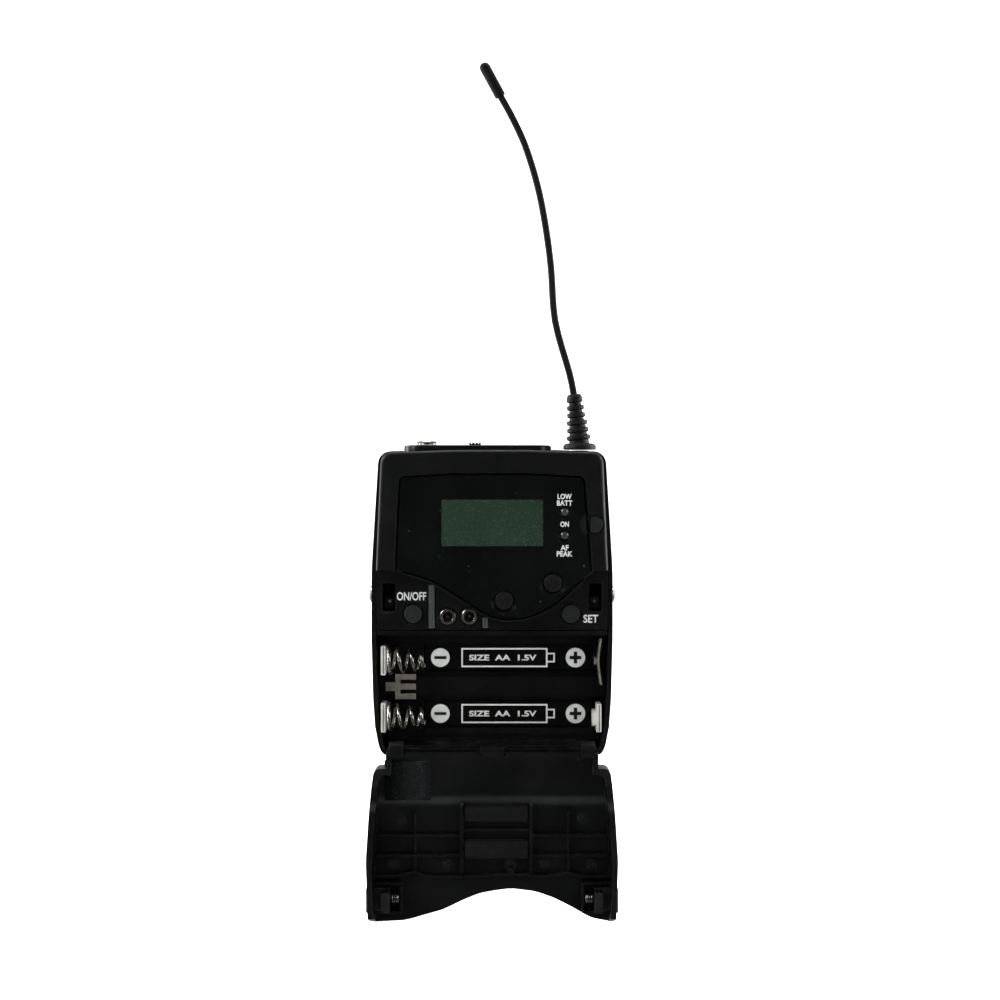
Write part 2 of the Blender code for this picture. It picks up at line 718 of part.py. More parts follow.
def antenna_boot():
    collar = [(0, 41.75), (3.5, 41.75), (4.15, 41.45), (4.4, 41.0), (4.4, 40.15), (0, 40.15)]
    boot = turned("antenna_boot", collar, "Z", (ANTENNA_X, AXIS_Y, 0), "antenna_rubber")
    length = 13.9
    profile = [(0, length - 4), (1.25, length - 4), (1.25, length), (1.6, length), (2.0, length - 0.5)]
    for k, width in enumerate((4.3, 4.6, 4.9, 5.5, 5.8, 6.35)):
        top = length - 1.1 - 2.0 * k
        profile += [(width / 2, top), (width / 2, top - 0.9), (width / 2 - 0.55, top - 1.15)]
        profile += [(width / 2 - 0.5, top - 1.75)]
    profile += [(2.9, -0.5), (0, -0.5)]
    sleeve = turned("antenna_sleeve", profile, "Z", (ANTENNA_X, AXIS_Y, BOOT_Z))
    sleeve.rotation_euler = (0, BOOT_LEAN, 0)
    join(boot, sleeve)


def boot_axis(height):
    """Point on the leaning boot's axis, at a height along it above the collar."""
    return ANTENNA_X + height * math.sin(BOOT_LEAN), BOOT_Z + height * math.cos(BOOT_LEAN)


def antenna():
    tip = Vector(WHIP_ROUTE[-1])
    heading = Vector((math.sin(TIP_LEAN), math.cos(TIP_LEAN)))
    route = smooth([boot_axis(11.6), boot_axis(13.0), *WHIP_ROUTE[1:], tip + heading * 1.6], 4)
    wire("antenna_whip", [(x, AXIS_Y, z) for x, z in route], WHIP_R, "antenna_rubber")
    outer, length = 1.45, TIP_LENGTH
    profile = [(0, 2.2), (1.25, 2.2), (1.25, 0), (outer, 0), (outer, length - outer)]
    profile += [(outer * math.cos(t), length - outer + outer * math.sin(t)) for t in (0.5, 1.0)]
    profile += [(0, length)]
    end = turned("antenna_tip", profile[::-1], "Z", (tip.x, AXIS_Y, tip.y), "antenna_rubber", 16)
    end.rotation_euler = (0, TIP_LEAN, 0)
    socket = [(0, 39.85), (2.5, 39.85), (2.5, 36.4), (2.9, 36.4), (2.9, 33.4), (0, 33.4)]
    turned("antenna_socket", socket, "Z", (ANTENNA_X, AXIS_Y, 0), "nickel", 20)


# Battery bay

def knuckle_clearance(side, name):
    return box(f"knuckle_clearance_{name}", span(side, 22.9, 31), (-15, -11.9), (-42, -37))


def battery_tray():
    outline = rounded(symmetric(TRAY_HALF))
    tray = prism("battery_tray", outline, "Y", RIDGE_Y, BACK_Y - BACK_WALL - GAP, "tray_plastic")
    join(tray, box("tray_roof", (-30.1, 30.1), (-19.3, -4), (TRAY_TOP_Z - 1.2, TRAY_TOP_Z - 0.05)))
    join(tray, box("tray_sill", (-27.6, 27.6), (-14.2, -4), (-40.05, -37.6)))
    join(tray, box("hinge_block", (-BLOCK_HALF, BLOCK_HALF), (HINGE_Y, -13), (-40.1, -37.9)))
    nose = disc(BLOCK_R, -BLOCK_HALF, BLOCK_HALF)
    join(tray, turned("hinge_block_round", nose, "X", (0, HINGE_Y, HINGE_Z)))
    for name, z in CELL_Z.items():
        cut(tray, turned(f"trough_{name}", disc(TROUGH_R, -33, 33), "X", (0, CELL_Y, z), steps=40))
        x0, x1 = LABEL_X
        floor = (-6.0, CELL_Y + TROUGH_R + 0.5)
        cut(tray, box(f"label_floor_{name}", (x0 - GAP, x1 + GAP), floor, (z - 3.7, z + 3.7)))
    cut(tray, turned("rod_hole", disc(ROD_R + GAP, -10, 10), "X", (0, HINGE_Y, HINGE_Z), steps=16))
    cut(tray, *sides(knuckle_clearance))


def battery_labels():
    for name, z in CELL_Z.items():
        floor = CELL_Y + TROUGH_R + 0.2
        tall = (z - LABEL_HALF, z + LABEL_HALF)
        box(f"battery_label_{name}", LABEL_X, (floor - 0.3, floor), tall, "label_film")


def coil(x0, x1, y, z, radii, turns, steps):
    """Helix about a line along X whose radius runs from the first value to the second."""
    route = []
    for k in range(turns * steps + 1):
        share = k / (turns * steps)
        radius = radii[0] + (radii[1] - radii[0]) * share
        angle = 2 * math.pi * k / steps
        place = y + radius * math.cos(angle), z + radius * math.sin(angle)
        route.append((x0 + (x1 - x0) * share, *place))
    return route


def battery_contacts():
    for name, z in CELL_Z.items():
        tall = (z - 3.85, z + 3.95)
        box(f"negative_plate_{name}", (-29.6, -28.3), (-13.0, -7.2), tall, "nickel", 0.2)
        route = coil(-27.6, -18.2, CELL_Y, z, (3.6, 1.9), 5, 14)
        wire(f"battery_spring_{name}", route, 0.34, "nickel")
    z = CELL_Z["lower"]
    plate = box("positive_contact_lower", (27.7, 29.1), (-13.0, -8.0), (z - 3.8, z + 3.8), "nickel", 0.2)
    join(plate, turned("positive_button", disc(2.3, -1.1, 0.5), "X", (27.7, CELL_Y, z)))
    leaf = [(28.7, -22.4), (28.2, -18.5), (28.0, -16.1), (28.2, -13.7), (28.7, -10.2)]
    strip = smooth(leaf, 3)
    outline = [*strip, *(point + Vector((0.5, 0)) for point in reversed(strip))]
    contact = prism("positive_contact_upper", outline, "Y", -13.0, -8.4, "spring_bronze")
    bump = turned("contact_bump", disc(1.1, -0.8, 0.3), "X", (28.0, CELL_Y, CELL_Z["upper"]), steps=16)
    join(contact, bump)


def pack_contact():
    """Three springy fingers on one stem, lying over the ridge between the cells."""
    stem, palm, tips = -28.8, -26.2, -20.6
    fingers = ((-20.3, -21.8), (-22.9, -24.5), (-25.5, -27.1))
    corners = [(stem, -24.9), (stem, -22.5), (palm, -22.5), (palm, -20.3)]
    for top, bottom in fingers:
        corners += [(tips, top), (tips, bottom), (palm + 1.4, bottom)]
        if bottom != fingers[-1][1]:
            corners += [(palm + 1.4, bottom - 1.1)]
    corners = corners[:-1] + [(palm, fingers[-1][1]), (palm, -24.9)]
    prism("pack_contact", [Vector(c) for c in corners], "Y", RIDGE_Y - 0.8, RIDGE_Y - 0.3, "spring_bronze")


# Battery door, drawn shut and then swung open about its hinge

def door_outline(inset):
    right = [(x, HINGE_Z + d, radius) for x, d, radius in DOOR_SIDE]
    left = [(-x, z, radius) for x, z, radius in reversed(right)]
    edge = [(x, HINGE_Z + d, 8) for x, d in DOOR_FREE_EDGE]
    corners = [*right, *edge, *left]
    if not inset:
        return rounded(corners)
    narrowed = []
    for x, z, radius in corners:
        rise = inset if z > HINGE_Z else 0
        narrowed.append((x - math.copysign(inset, x), z + rise, radius))
    end, far = HINGE_Z + 47, HINGE_Z + 60
    past = [(30.9, end, 0), (30.9, far, 0), (-30.9, far, 0), (-30.9, end, 0)]
    half = len(right) - 1
    return rounded([*narrowed[:half], *past, *narrowed[-half:]])


def door_skin_curve(shift, over=0.0):
    """Door's skin seen from the side, as y and z, from the hinge to the flat front."""
    depth = DOOR_START_Y - DOOR_Y + over
    points = []
    for k in range(11):
        d = DOOR_BEND * (1 - math.cos(math.pi / 2 * k / 10))
        rise = math.sqrt(max(0.0, 1 - (1 - d / DOOR_BEND) ** 2))
        points.append(Vector((DOOR_START_Y - depth * rise + shift, HINGE_Z + d)))
    return points


def door_profile():
    """Side view of the whole door: skin in front, and behind it the rim of the walls."""
    front = [(DOOR_Y - 1, HINGE_Z + DOOR_BEND), (DOOR_Y - 1, HINGE_Z + 47.6)]
    rim = [(DOOR_RIM_Y, HINGE_Z + 43.7), (DOOR_RIM_Y, HINGE_Z + 9.0)]
    rim += [(-16.3, HINGE_Z + 4.6), (-17.2, HINGE_Z)]
    return prism("door_profile", [*door_skin_curve(0, DOOR_BEND_OVER), *front, *rim], "X", -40, 40)


def door_hollow():
    """The door's inside: everything behind the skin and between the side walls."""
    hollow = prism("door_hollow", door_outline(DOOR_WALL), "Y", DOOR_Y - 2, 0)
    skin, top, below = DOOR_Y + DOOR_SKIN, HINGE_Z + 70, HINGE_Z - 6
    behind = [(skin, HINGE_Z + DOOR_BEND), (skin, top), (2, top), (2, below)]
    behind.append((DOOR_START_Y + DOOR_SKIN, below))
    profile = prism("door_hollow_profile", [*door_skin_curve(DOOR_SKIN), *behind], "X", -45, 45)
    combine(hollow, profile, "INTERSECT")
    return hollow


def door_ribs():
    """Stiffening ribs as x range, range of distance from the hinge, and height."""
    ribs = [
        ((-8.5, -7.7), (14.8, 33.3), 2.0),
        ((10.0, 10.8), (14.8, 33.3), 2.0),
        ((-20.9, -20.3), (17.5, 33.3), 1.1),
        ((20.2, 20.8), (17.5, 33.3), 1.1),
        ((-31.1, -8.0), (23.2, 23.9), 1.4),
        ((10.4, 31.1), (23.2, 23.9), 1.4),
        ((-31.1, -8.0), (28.5, 29.2), 1.5),
        ((10.4, 31.1), (28.5, 29.2), 1.5),
        ((-8.1, 10.5), (21.8, 22.4), 1.3),
    ]
    for side in (-1, 1):
        ribs.append((span(side, 23.9, 24.5), (36.0, 43.9), 2.6))
        ribs.append((span(side, 24.1, 31.3), (35.8, 36.5), 2.5))
        ribs.append((span(side, 24.2, 31.2), (43.5, 44.1), 2.4))
    skin = DOOR_Y + DOOR_SKIN
    return [
        box(f"door_rib_{n}", x, (skin - 0.5, skin + height), (HINGE_Z + d[0], HINGE_Z + d[1]))
        for n, (x, d, height) in enumerate(ribs, 1)
    ]


def wavy_rib():
    """Long rib across the door near its free edge, with a low bump on each side and a knob off the middle."""
    right = smooth([Vector((x, HINGE_Z + d)) for x, d in WAVY_RIB], 3)
    thick = Vector((0, WAVY_RIB_THICK))
    skin = DOOR_Y + DOOR_SKIN
    outline = [*right, *(point + thick for point in reversed(right))]
    rib = prism("door_wavy_rib", outline, "Y", skin - 0.5, skin + 1.7)
    knob = turned("door_knob", disc(0.9, skin - 0.4, skin + 2.1), "Y", (5.0, 0, HINGE_Z + 33.0), steps=16)
    return rib, knob


def rod_view(side, name):
    """Opens the door's neck along the hinge rod, between the middle and a knuckle."""
    end = KNUCKLE[0] - 0.25
    return box(f"rod_view_{name}", span(side, 0, end), (-26, -10), (HINGE_Z - 5, HINGE_Z + NECK_GAP))


def door_neck_cuts():
    gap = BLOCK_HALF + 0.5
    notch = box("block_notch", (-gap, gap), (-26, -10), (HINGE_Z - 5, HINGE_Z + BLOCK_R + GAP + 0.1))
    return [notch, *sides(rod_view)]


def knuckle(side, name):
    start, end, radius = KNUCKLE
    middle = (start + end) / 2
    half = (end - start) / 2
    place = (side * middle, HINGE_Y, HINGE_Z)
    return turned(f"knuckle_{name}", disc(radius, -half, half), "X", place, steps=20)


def catch_window(side, name):
    return box(f"catch_window_{name}", span(side, 29.5, 36), (CATCH_Y[0] - GAP, -17.0),
               (CATCH_Z[0] - GAP, CATCH_Z[1] + GAP))


def door_shell():
    door = prism("door_shell", door_outline(0), "Y", DOOR_Y, DOOR_RIM_Y + 3, "door_plastic")
    round_rim(door, "Y", DOOR_Y, DOOR_EDGE, 3)
    combine(door, door_profile(), "INTERSECT")
    cut(door, door_hollow())
    join(door, *sides(knuckle))
    cut(door, *door_neck_cuts())
    cut(door, turned("door_rod_hole", disc(ROD_R + GAP, -40, 40), "X", (0, HINGE_Y, HINGE_Z), steps=16))
    join(door, *door_ribs(), *wavy_rib())
    cut(door, *sides(catch_window))
    return door


def door_pads():
    skin = DOOR_Y + DOOR_SKIN
    for name, (d0, d1) in {"door_pad_upper": (24.6, 29.6), "door_pad_lower": (15.4, 19.8)}.items():
        box(name, (-7.3, 9.6), (skin + GAP, skin + 2.4), (HINGE_Z + d0, HINGE_Z + d1), "foam", 0.4)


def catch(side, name):
    z0, z1 = CATCH_Z
    front, back = CATCH_Y
    hook0, hook1 = CATCH_HOOK_X
    body = span(side, hook0, CATCH_OUT - 0.6)
    slider = box(f"catch_{name}", body, (front, back), (z0, z1), "catch_grey")
    hook = span(side, hook0, hook1)
    join(slider, box(f"catch_hook_{name}", hook, (front + 1, -16.3), (z0 + 0.3, z1 - 0.3)))
    barb = span(side, hook0 + 0.1, CATCH_BARB_X)
    join(slider, box(f"catch_barb_{name}", barb, (-17.8, -16.4), (z0 + 0.5, z1 - 0.5)))
    thumb = [(32.2, -22.6), (33.0, -22.6), (CATCH_OUT, -21.6)]
    thumb += [(CATCH_OUT, -18.6), (33.0, -17.4), (32.2, -17.4)]
    outline = [Vector((side * x, y)) for x, y in thumb]
    join(slider, prism(f"catch_thumb_{name}", outline, "Z", z0 + 0.05, z1 - 0.05))
    return slider


def catch_spring(side, name):
    middle = sum(CATCH_Z) / 2
    route = coil(side * 24.9, side * 26.7, -21.4, middle, (1.1, 1.1), 5, 10)
    return wire(f"catch_spring_{name}", route, 0.18, "nickel", 1)


def hang_on_hinge(items):
    """Parents the door's objects to an empty on the hinge axis, and swings them open together."""
    hinge = bpy.data.objects.new("battery_door_hinge", None)
    PARTS.objects.link(hinge)
    hinge.location = Vector((0, HINGE_Y, HINGE_Z)) * MM
    bpy.context.view_layer.update()
    still = hinge.matrix_world.inverted()
    for item in items:
        item.parent = hinge
        item.matrix_parent_inverse = still
    hinge.rotation_euler = (math.pi, 0, 0)


def battery_door():
    before = set(bpy.data.objects)
    door_shell()
    door_pads()
    sides(catch)
    sides(catch_spring)
    hang_on_hinge([item for item in bpy.data.objects if item not in before])


def hinge_rod():
    turned("hinge_rod", disc(ROD_R, -27.3, 27.3), "X", (0, HINGE_Y, HINGE_Z), "dark_steel", 16)


# Belt clip

def belt_clip():
    """One bent wire: pivots in the sides of the case, round the rear corners and down behind the back."""
    half = [
        (29.4, CLIP_Y, CLIP_Z),
        (31.2, CLIP_Y, CLIP_Z),
        (32.0, CLIP_Y + 0.8, CLIP_Z),
        (32.0, 1.6, CLIP_Z),
        (31.8, 3.6, CLIP_Z - 0.6),
        (31.2, 5.0, CLIP_Z - 2.4),
        (30.4, CLIP_REST_Y, CLIP_Z - 5.5),
        (28.6, CLIP_REST_Y, -22.0),
        (27.4, CLIP_REST_Y - 0.2, -32.0),
        (26.4, CLIP_REST_Y - 0.3, -35.0),
        (23.6, CLIP_REST_Y - 0.4, CLIP_FOOT_Z),
    ]
    pivot = Vector((0, CLIP_Y, CLIP_Z))
    route = [Vector(point) - pivot for point in half]
    route += [Vector((-x, y, z)) for x, y, z in reversed(route)]
    clip = meshed(wire_curve("belt_clip_wire", route, CLIP_WIRE_R), "belt_clip", "clip_steel")
    clip.location = pivot * MM
    cap = [(0, 0.65), (1.2, 0.6), (2.0, 0.3), (2.3, -0.1), (2.3, -0.8), (0, -0.8)]
    for side, name in ((1, "right"), (-1, "left")):
        knob = turned(f"clip_cap_{name}", cap, "X", (side * 32.4, CLIP_Y, CLIP_Z), steps=20)
        if side < 0:
            knob.rotation_euler = (0, -math.pi / 2, 0)
        join(clip, knob)


def build():
    rear_shell()
    rear_plate()
    case_screws()
    front_cover()
    display_window()
    display_stack()
    buttons()
    charge_contacts()
    guide_strips()
    electronics()
    top_plate()
    jack()
    mute_switch()
    antenna_boot()
    antenna()
    battery_tray()
    battery_labels()
    battery_contacts()
    pack_contact()
    hinge_rod()
    battery_door()
    belt_clip()


build()
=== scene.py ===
"""Looks of the wireless bodypack transmitter: materials, printed marks, fine detail, light and camera."""

import math

import bmesh
import bpy
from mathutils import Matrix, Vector


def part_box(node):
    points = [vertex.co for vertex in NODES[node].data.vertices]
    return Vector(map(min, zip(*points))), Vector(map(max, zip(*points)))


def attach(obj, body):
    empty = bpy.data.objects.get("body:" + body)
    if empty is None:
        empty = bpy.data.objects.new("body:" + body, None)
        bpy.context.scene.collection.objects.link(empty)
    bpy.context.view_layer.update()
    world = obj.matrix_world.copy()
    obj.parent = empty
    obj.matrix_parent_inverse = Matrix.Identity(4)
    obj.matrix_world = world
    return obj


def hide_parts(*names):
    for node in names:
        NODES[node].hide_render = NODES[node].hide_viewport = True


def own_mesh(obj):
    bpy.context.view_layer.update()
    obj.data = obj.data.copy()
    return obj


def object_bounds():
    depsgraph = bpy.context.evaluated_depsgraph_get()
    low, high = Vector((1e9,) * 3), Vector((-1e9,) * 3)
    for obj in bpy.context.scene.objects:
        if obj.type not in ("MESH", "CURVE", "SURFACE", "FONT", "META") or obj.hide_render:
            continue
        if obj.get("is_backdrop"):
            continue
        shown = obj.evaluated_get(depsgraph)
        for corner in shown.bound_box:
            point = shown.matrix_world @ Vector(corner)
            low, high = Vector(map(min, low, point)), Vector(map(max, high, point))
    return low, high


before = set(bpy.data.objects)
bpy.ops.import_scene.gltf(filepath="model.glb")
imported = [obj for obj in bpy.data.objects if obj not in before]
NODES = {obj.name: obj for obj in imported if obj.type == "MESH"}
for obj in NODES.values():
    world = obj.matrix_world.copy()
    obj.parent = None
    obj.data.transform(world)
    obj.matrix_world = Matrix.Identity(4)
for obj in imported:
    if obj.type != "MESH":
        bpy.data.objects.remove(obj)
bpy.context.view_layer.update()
MM = 0.001

# Where things are, in millimetres, from the CAD nodes' own boxes


def low(node):
    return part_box(node)[0] / MM


def high(node):
    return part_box(node)[1] / MM


def middle(node):
    return (low(node) + high(node)) / 2


# Shader nodes


DUST = (0.30, 0.30, 0.28)
# colour of the painted highlight where a skin curves
PAINTED_SHEEN = (0.017, 0.019, 0.019)


class Tree:
    """Short hand for building one material's node tree."""

    def __init__(self, name):
        self.material = bpy.data.materials.new(name)
        self.material.use_nodes = True
        self.tree = self.material.node_tree
        self.shader = self.tree.nodes["Principled BSDF"]

    def node(self, kind, **settings):
        made = self.tree.nodes.new("ShaderNode" + kind)
        for name, value in settings.items():
            setattr(made, name, value)
        return made

    def link(self, source, target):
        self.tree.links.new(source, target)

    def noise(self, place, scale, detail=2.0, roughness=0.5):
        made = self.node("TexNoise")
        made.inputs["Scale"].default_value = scale
        made.inputs["Detail"].default_value = detail
        made.inputs["Roughness"].default_value = roughness
        self.link(place, made.inputs["Vector"])
        return made.outputs["Fac"]

    def spread(self, value, start, end, to_start=0.0, to_end=1.0, smooth=False):
        made = self.node("MapRange")
        if smooth:
            made.interpolation_type = "SMOOTHSTEP"
        for name, number in zip(("From Min", "From Max", "To Min", "To Max"), (start, end, to_start, to_end)):
            made.inputs[name].default_value = number
        self.link(value, made.inputs["Value"])
        return made.outputs["Result"]

    def sums(self, operation, *values):
        made = self.node("Math", operation=operation)
        for socket, value in zip(made.inputs, values):
            if isinstance(value, (int, float)):
                socket.default_value = value
            else:
                self.link(value, socket)
        return made.outputs["Value"]

    def blend(self, share, first, second):
        made = self.node("Mix", data_type="RGBA")
        for name, value in (("A", first), ("B", second)):
            socket = next(s for s in made.inputs if s.name == name and s.type == "RGBA")
            if isinstance(value, tuple):
                socket.default_value = (*value, 1)
            else:
                self.link(value, socket)
        self.link(share, made.inputs[0])
        return next(s for s in made.outputs if s.type == "RGBA")

    def edges(self, radius, reach=0.12):
        """Soft normal round the sharp edges, and a mask that is 1 on them."""
        soft = self.node("Bevel", samples=6)
        soft.inputs["Radius"].default_value = radius * MM
        plain = self.node("NewGeometry")
        turn = self.node("VectorMath", operation="DOT_PRODUCT")
        self.link(soft.outputs["Normal"], turn.inputs[0])
        self.link(plain.outputs["Normal"], turn.inputs[1])
        return soft.outputs["Normal"], self.spread(turn.outputs["Value"], 1.0 - reach / 6, 1.0 - reach, 0, 1)

    def bump(self, height, strength, distance, normal=None):
        made = self.node("Bump")
        made.inputs["Strength"].default_value = strength
        made.inputs["Distance"].default_value = distance * MM
        self.link(height, made.inputs["Height"])
        if normal:
            self.link(normal, made.inputs["Normal"])
        return made.outputs["Normal"]

    def set(self, **values):
        for name, value in values.items():
            socket = self.shader.inputs[name.replace("_", " ")]
            if isinstance(value, (int, float)):
                socket.default_value = value
            elif isinstance(value, tuple):
                socket.default_value = (*value, 1)
            else:
                self.link(value, socket)


def moulded(
    name,
    dark,
    light,
    roughness=0.42,
    grain=2600,
    bump=0.22,
    edge=0.22,
    dust=0.0,
    shine=0.25,
    sheen_band=None,
    **plain,
):
    """Moulded plastic or rubber: fine spark texture, cloudy gloss, polished edges and a little dust.

    The sheen_band is a z range in millimetres where a painted highlight lightens the surface, standing in for
    light caught where the skin curves.
    """
    t = Tree(name)
    place = t.node("TexCoord").outputs["Object"]
    fine = t.noise(place, grain, 3)
    cloud = t.noise(place, 70, 4, 0.6)
    smear = t.noise(place, 260, 3, 0.65)
    normal, rim = t.edges(edge)
    colour = t.blend(t.spread(cloud, 0.35, 0.68), dark, light)
    # painted highlight: the surface turns softly lighter over the given z range, standing in for light caught
    # where the skin curves
    if sheen_band:
        parts = t.node("SeparateXYZ")
        t.link(place, parts.inputs["Vector"])
        start, end = (z * MM for z in sheen_band)
        soft = 0.7 * MM
        above = t.spread(parts.outputs["Z"], start - soft, start + soft, smooth=True)
        below = t.spread(parts.outputs["Z"], end - soft, end + soft, 1.0, 0.0, smooth=True)
        sheen = t.sums("MULTIPLY", above, below)
        sheen = t.sums("MULTIPLY", sheen, t.spread(smear, 0.25, 0.7, 0.6, 1.0))
        colour = t.blend(sheen, colour, PAINTED_SHEEN)
    worn = tuple(min(1.0, 2.2 * c + 0.006) for c in light)
    touched = t.sums("MULTIPLY", rim, t.spread(smear, 0.3, 0.7, 0.25, 0.8))
    colour = t.blend(touched, colour, worn)
    if dust:
        specks = t.spread(t.noise(place, 1500, 1), 0.79, 0.84)
        colour = t.blend(t.sums("MULTIPLY", specks, dust), colour, DUST)
    gloss = t.spread(smear, 0.3, 0.7, roughness - 0.07, roughness + 0.08)
    gloss = t.sums("SUBTRACT", gloss, t.sums("MULTIPLY", rim, 0.1))
    t.set(
        Base_Color=colour,
        Roughness=gloss,
        Normal=t.bump(fine, bump, 0.02, normal),
        Specular_IOR_Level=shine,
        **plain,
    )
    return t.material


def metal(name, dark, light, roughness=0.25, grain=900, edge=0.12, stretch=(1, 1, 1), metallic=1.0):
    """Plated or bare metal with fine drawing lines, slight tarnish and brighter edges."""
    t = Tree(name)
    place = t.node("TexCoord").outputs["Object"]
    drawn = t.node("Mapping")
    drawn.inputs["Scale"].default_value = stretch
    t.link(place, drawn.inputs["Vector"])
    lines = t.noise(drawn.outputs["Vector"], grain, 3)
    cloud = t.noise(place, 240, 4, 0.6)
    normal, rim = t.edges(edge)
    colour = t.blend(t.spread(cloud, 0.35, 0.7), light, dark)
    colour = t.blend(t.sums("MULTIPLY", rim, 0.5), colour, tuple(min(1.0, c * 1.25) for c in light))
    gloss = t.spread(lines, 0.3, 0.7, roughness - 0.07, roughness + 0.1)
    t.set(Base_Color=colour, Roughness=gloss, Metallic=metallic, Normal=t.bump(lines, 0.06, 0.01, normal))
    return t.material


def printed(name, light, dark, roughness=0.5):
    """Screen-printed ink: slightly uneven cover with a fine tooth."""
    t = Tree(name)
    place = t.node("TexCoord").outputs["Object"]
    tooth = t.noise(place, 3800, 2)
    cover = t.noise(place, 420, 3)
    t.set(
        Base_Color=t.blend(t.spread(cover, 0.35, 0.75), light, dark),
        Roughness=t.spread(tooth, 0.3, 0.7, roughness - 0.08, roughness + 0.08),
        Normal=t.bump(tooth, 0.15, 0.01),
    )
    return t.material


def smoked(name, dark, light, roughness=0.09):
    """Glossy smoked window: clear coat over near-black, with fine hairlines and specks of dust."""
    t = Tree(name)
    place = t.node("TexCoord").outputs["Object"]
    normal, rim = t.edges(0.3)
    cloud = t.noise(place, 45, 4, 0.6)
    specks = t.spread(t.noise(place, 1300, 1), 0.80, 0.84)
    wave = t.node("Mapping")
    wave.inputs["Scale"].default_value = (1, 1, 14)
    wave.inputs["Rotation"].default_value = (0, 0.6, 0)
    t.link(place, wave.inputs["Vector"])
    lines = t.spread(t.noise(wave.outputs["Vector"], 210, 3), 0.66, 0.72)
    colour = t.blend(t.spread(cloud, 0.3, 0.7), dark, light)
    colour = t.blend(t.sums("MULTIPLY", specks, 0.3), colour, (0.30, 0.31, 0.29))
    gloss = t.spread(cloud, 0.3, 0.7, roughness - 0.03, roughness + 0.07)
    gloss = t.sums("ADD", gloss, t.sums("MULTIPLY", lines, 0.12))
    t.set(Base_Color=colour, Roughness=gloss, Normal=normal, Specular_IOR_Level=0.4)
    return t.material


def lcd(name):
    """Reflective display glass, switched off: dark green with the faint grid of its dots, and painted shade
    that darkens it towards its right end.
    """
    t = Tree(name)
    place = t.node("TexCoord").outputs["Object"]
    parts = t.node("SeparateXYZ")
    t.link(place, parts.inputs["Vector"])
    lines = []
    for socket in ("X", "Z"):
        wave = t.sums("SINE", t.sums("MULTIPLY", parts.outputs[socket], 2 * math.pi / (0.36 * MM)))
        lines.append(t.spread(wave, 0.75, 1.0))
    grid = t.sums("MAXIMUM", *lines)
    x0, x1 = low("lcd_module").x * MM, high("lcd_module").x * MM
    shade_across = t.spread(parts.outputs["X"], x0, x1)
    cloud = t.noise(place, 55, 3)
    colour = t.blend(t.spread(cloud, 0.3, 0.7), (0.0105, 0.0230, 0.0128), (0.0145, 0.0305, 0.0170))
    # painted shade: the glass darkens towards its right end
    colour = t.blend(t.sums("MULTIPLY", shade_across, 0.35), colour, (0.0095, 0.0195, 0.0125))
    colour = t.blend(t.sums("MULTIPLY", grid, 0.25), colour, (0.0065, 0.0135, 0.0090))
    fine = t.noise(place, 2400, 2)
    t.set(Base_Color=colour, Roughness=t.spread(fine, 0.3, 0.7, 0.18, 0.3), Normal=t.bump(fine, 0.04, 0.01))
    return t.material


def foam(name):
    """Open-cell foam pad: fine cells and soft blotches."""
    t = Tree(name)
    place = t.node("TexCoord").outputs["Object"]
    cells = t.node("TexVoronoi")
    cells.inputs["Scale"].default_value = 3200
    t.link(place, cells.inputs["Vector"])
    cloud = t.noise(place, 500, 4, 0.7)
    colour = t.blend(t.spread(cloud, 0.3, 0.7), (0.0015, 0.0019, 0.0018), (0.0042, 0.0049, 0.0047))
    t.set(Base_Color=colour, Roughness=t.spread(cloud, 0.3, 0.7, 0.8, 0.95), Specular_IOR_Level=0.2,
          Normal=t.bump(cells.outputs["Distance"], 0.5, 0.08))
    return t.material


def circuit(name):
    """Solder mask over copper: traces show as a slightly lighter maze."""
    t = Tree(name)
    place = t.node("TexCoord").outputs["Object"]
    brick = t.node("TexBrick")
    brick.inputs["Scale"].default_value = 420
    turn = t.node("Mapping")
    turn.inputs["Rotation"].default_value = (math.pi / 2, 0, 0)
    t.link(place, turn.inputs["Vector"])
    t.link(turn.outputs["Vector"], brick.inputs["Vector"])
    colour = t.blend(brick.outputs["Fac"], (0.008, 0.070, 0.030), (0.020, 0.150, 0.060))
    cloud = t.noise(place, 150, 3)
    t.set(Base_Color=colour, Roughness=t.spread(cloud, 0.3, 0.7, 0.35, 0.55),
          Normal=t.bump(brick.outputs["Fac"], 0.3, 0.03))
    return t.material


def lens(name, body, rim):
    """Clear moulded lens of a light that is off, a little milky inside."""
    t = Tree(name)
    place = t.node("TexCoord").outputs["Object"]
    cloud = t.noise(place, 900, 3)
    normal, edge = t.edges(0.15)
    colour = t.blend(t.spread(cloud, 0.3, 0.7), body, tuple(0.6 * c for c in body))
    colour = t.blend(edge, colour, rim)
    t.set(Base_Color=colour, Roughness=t.spread(cloud, 0.3, 0.7, 0.12, 0.3), Normal=normal, Coat_Weight=0.5,
          Coat_Roughness=0.08)
    return t.material


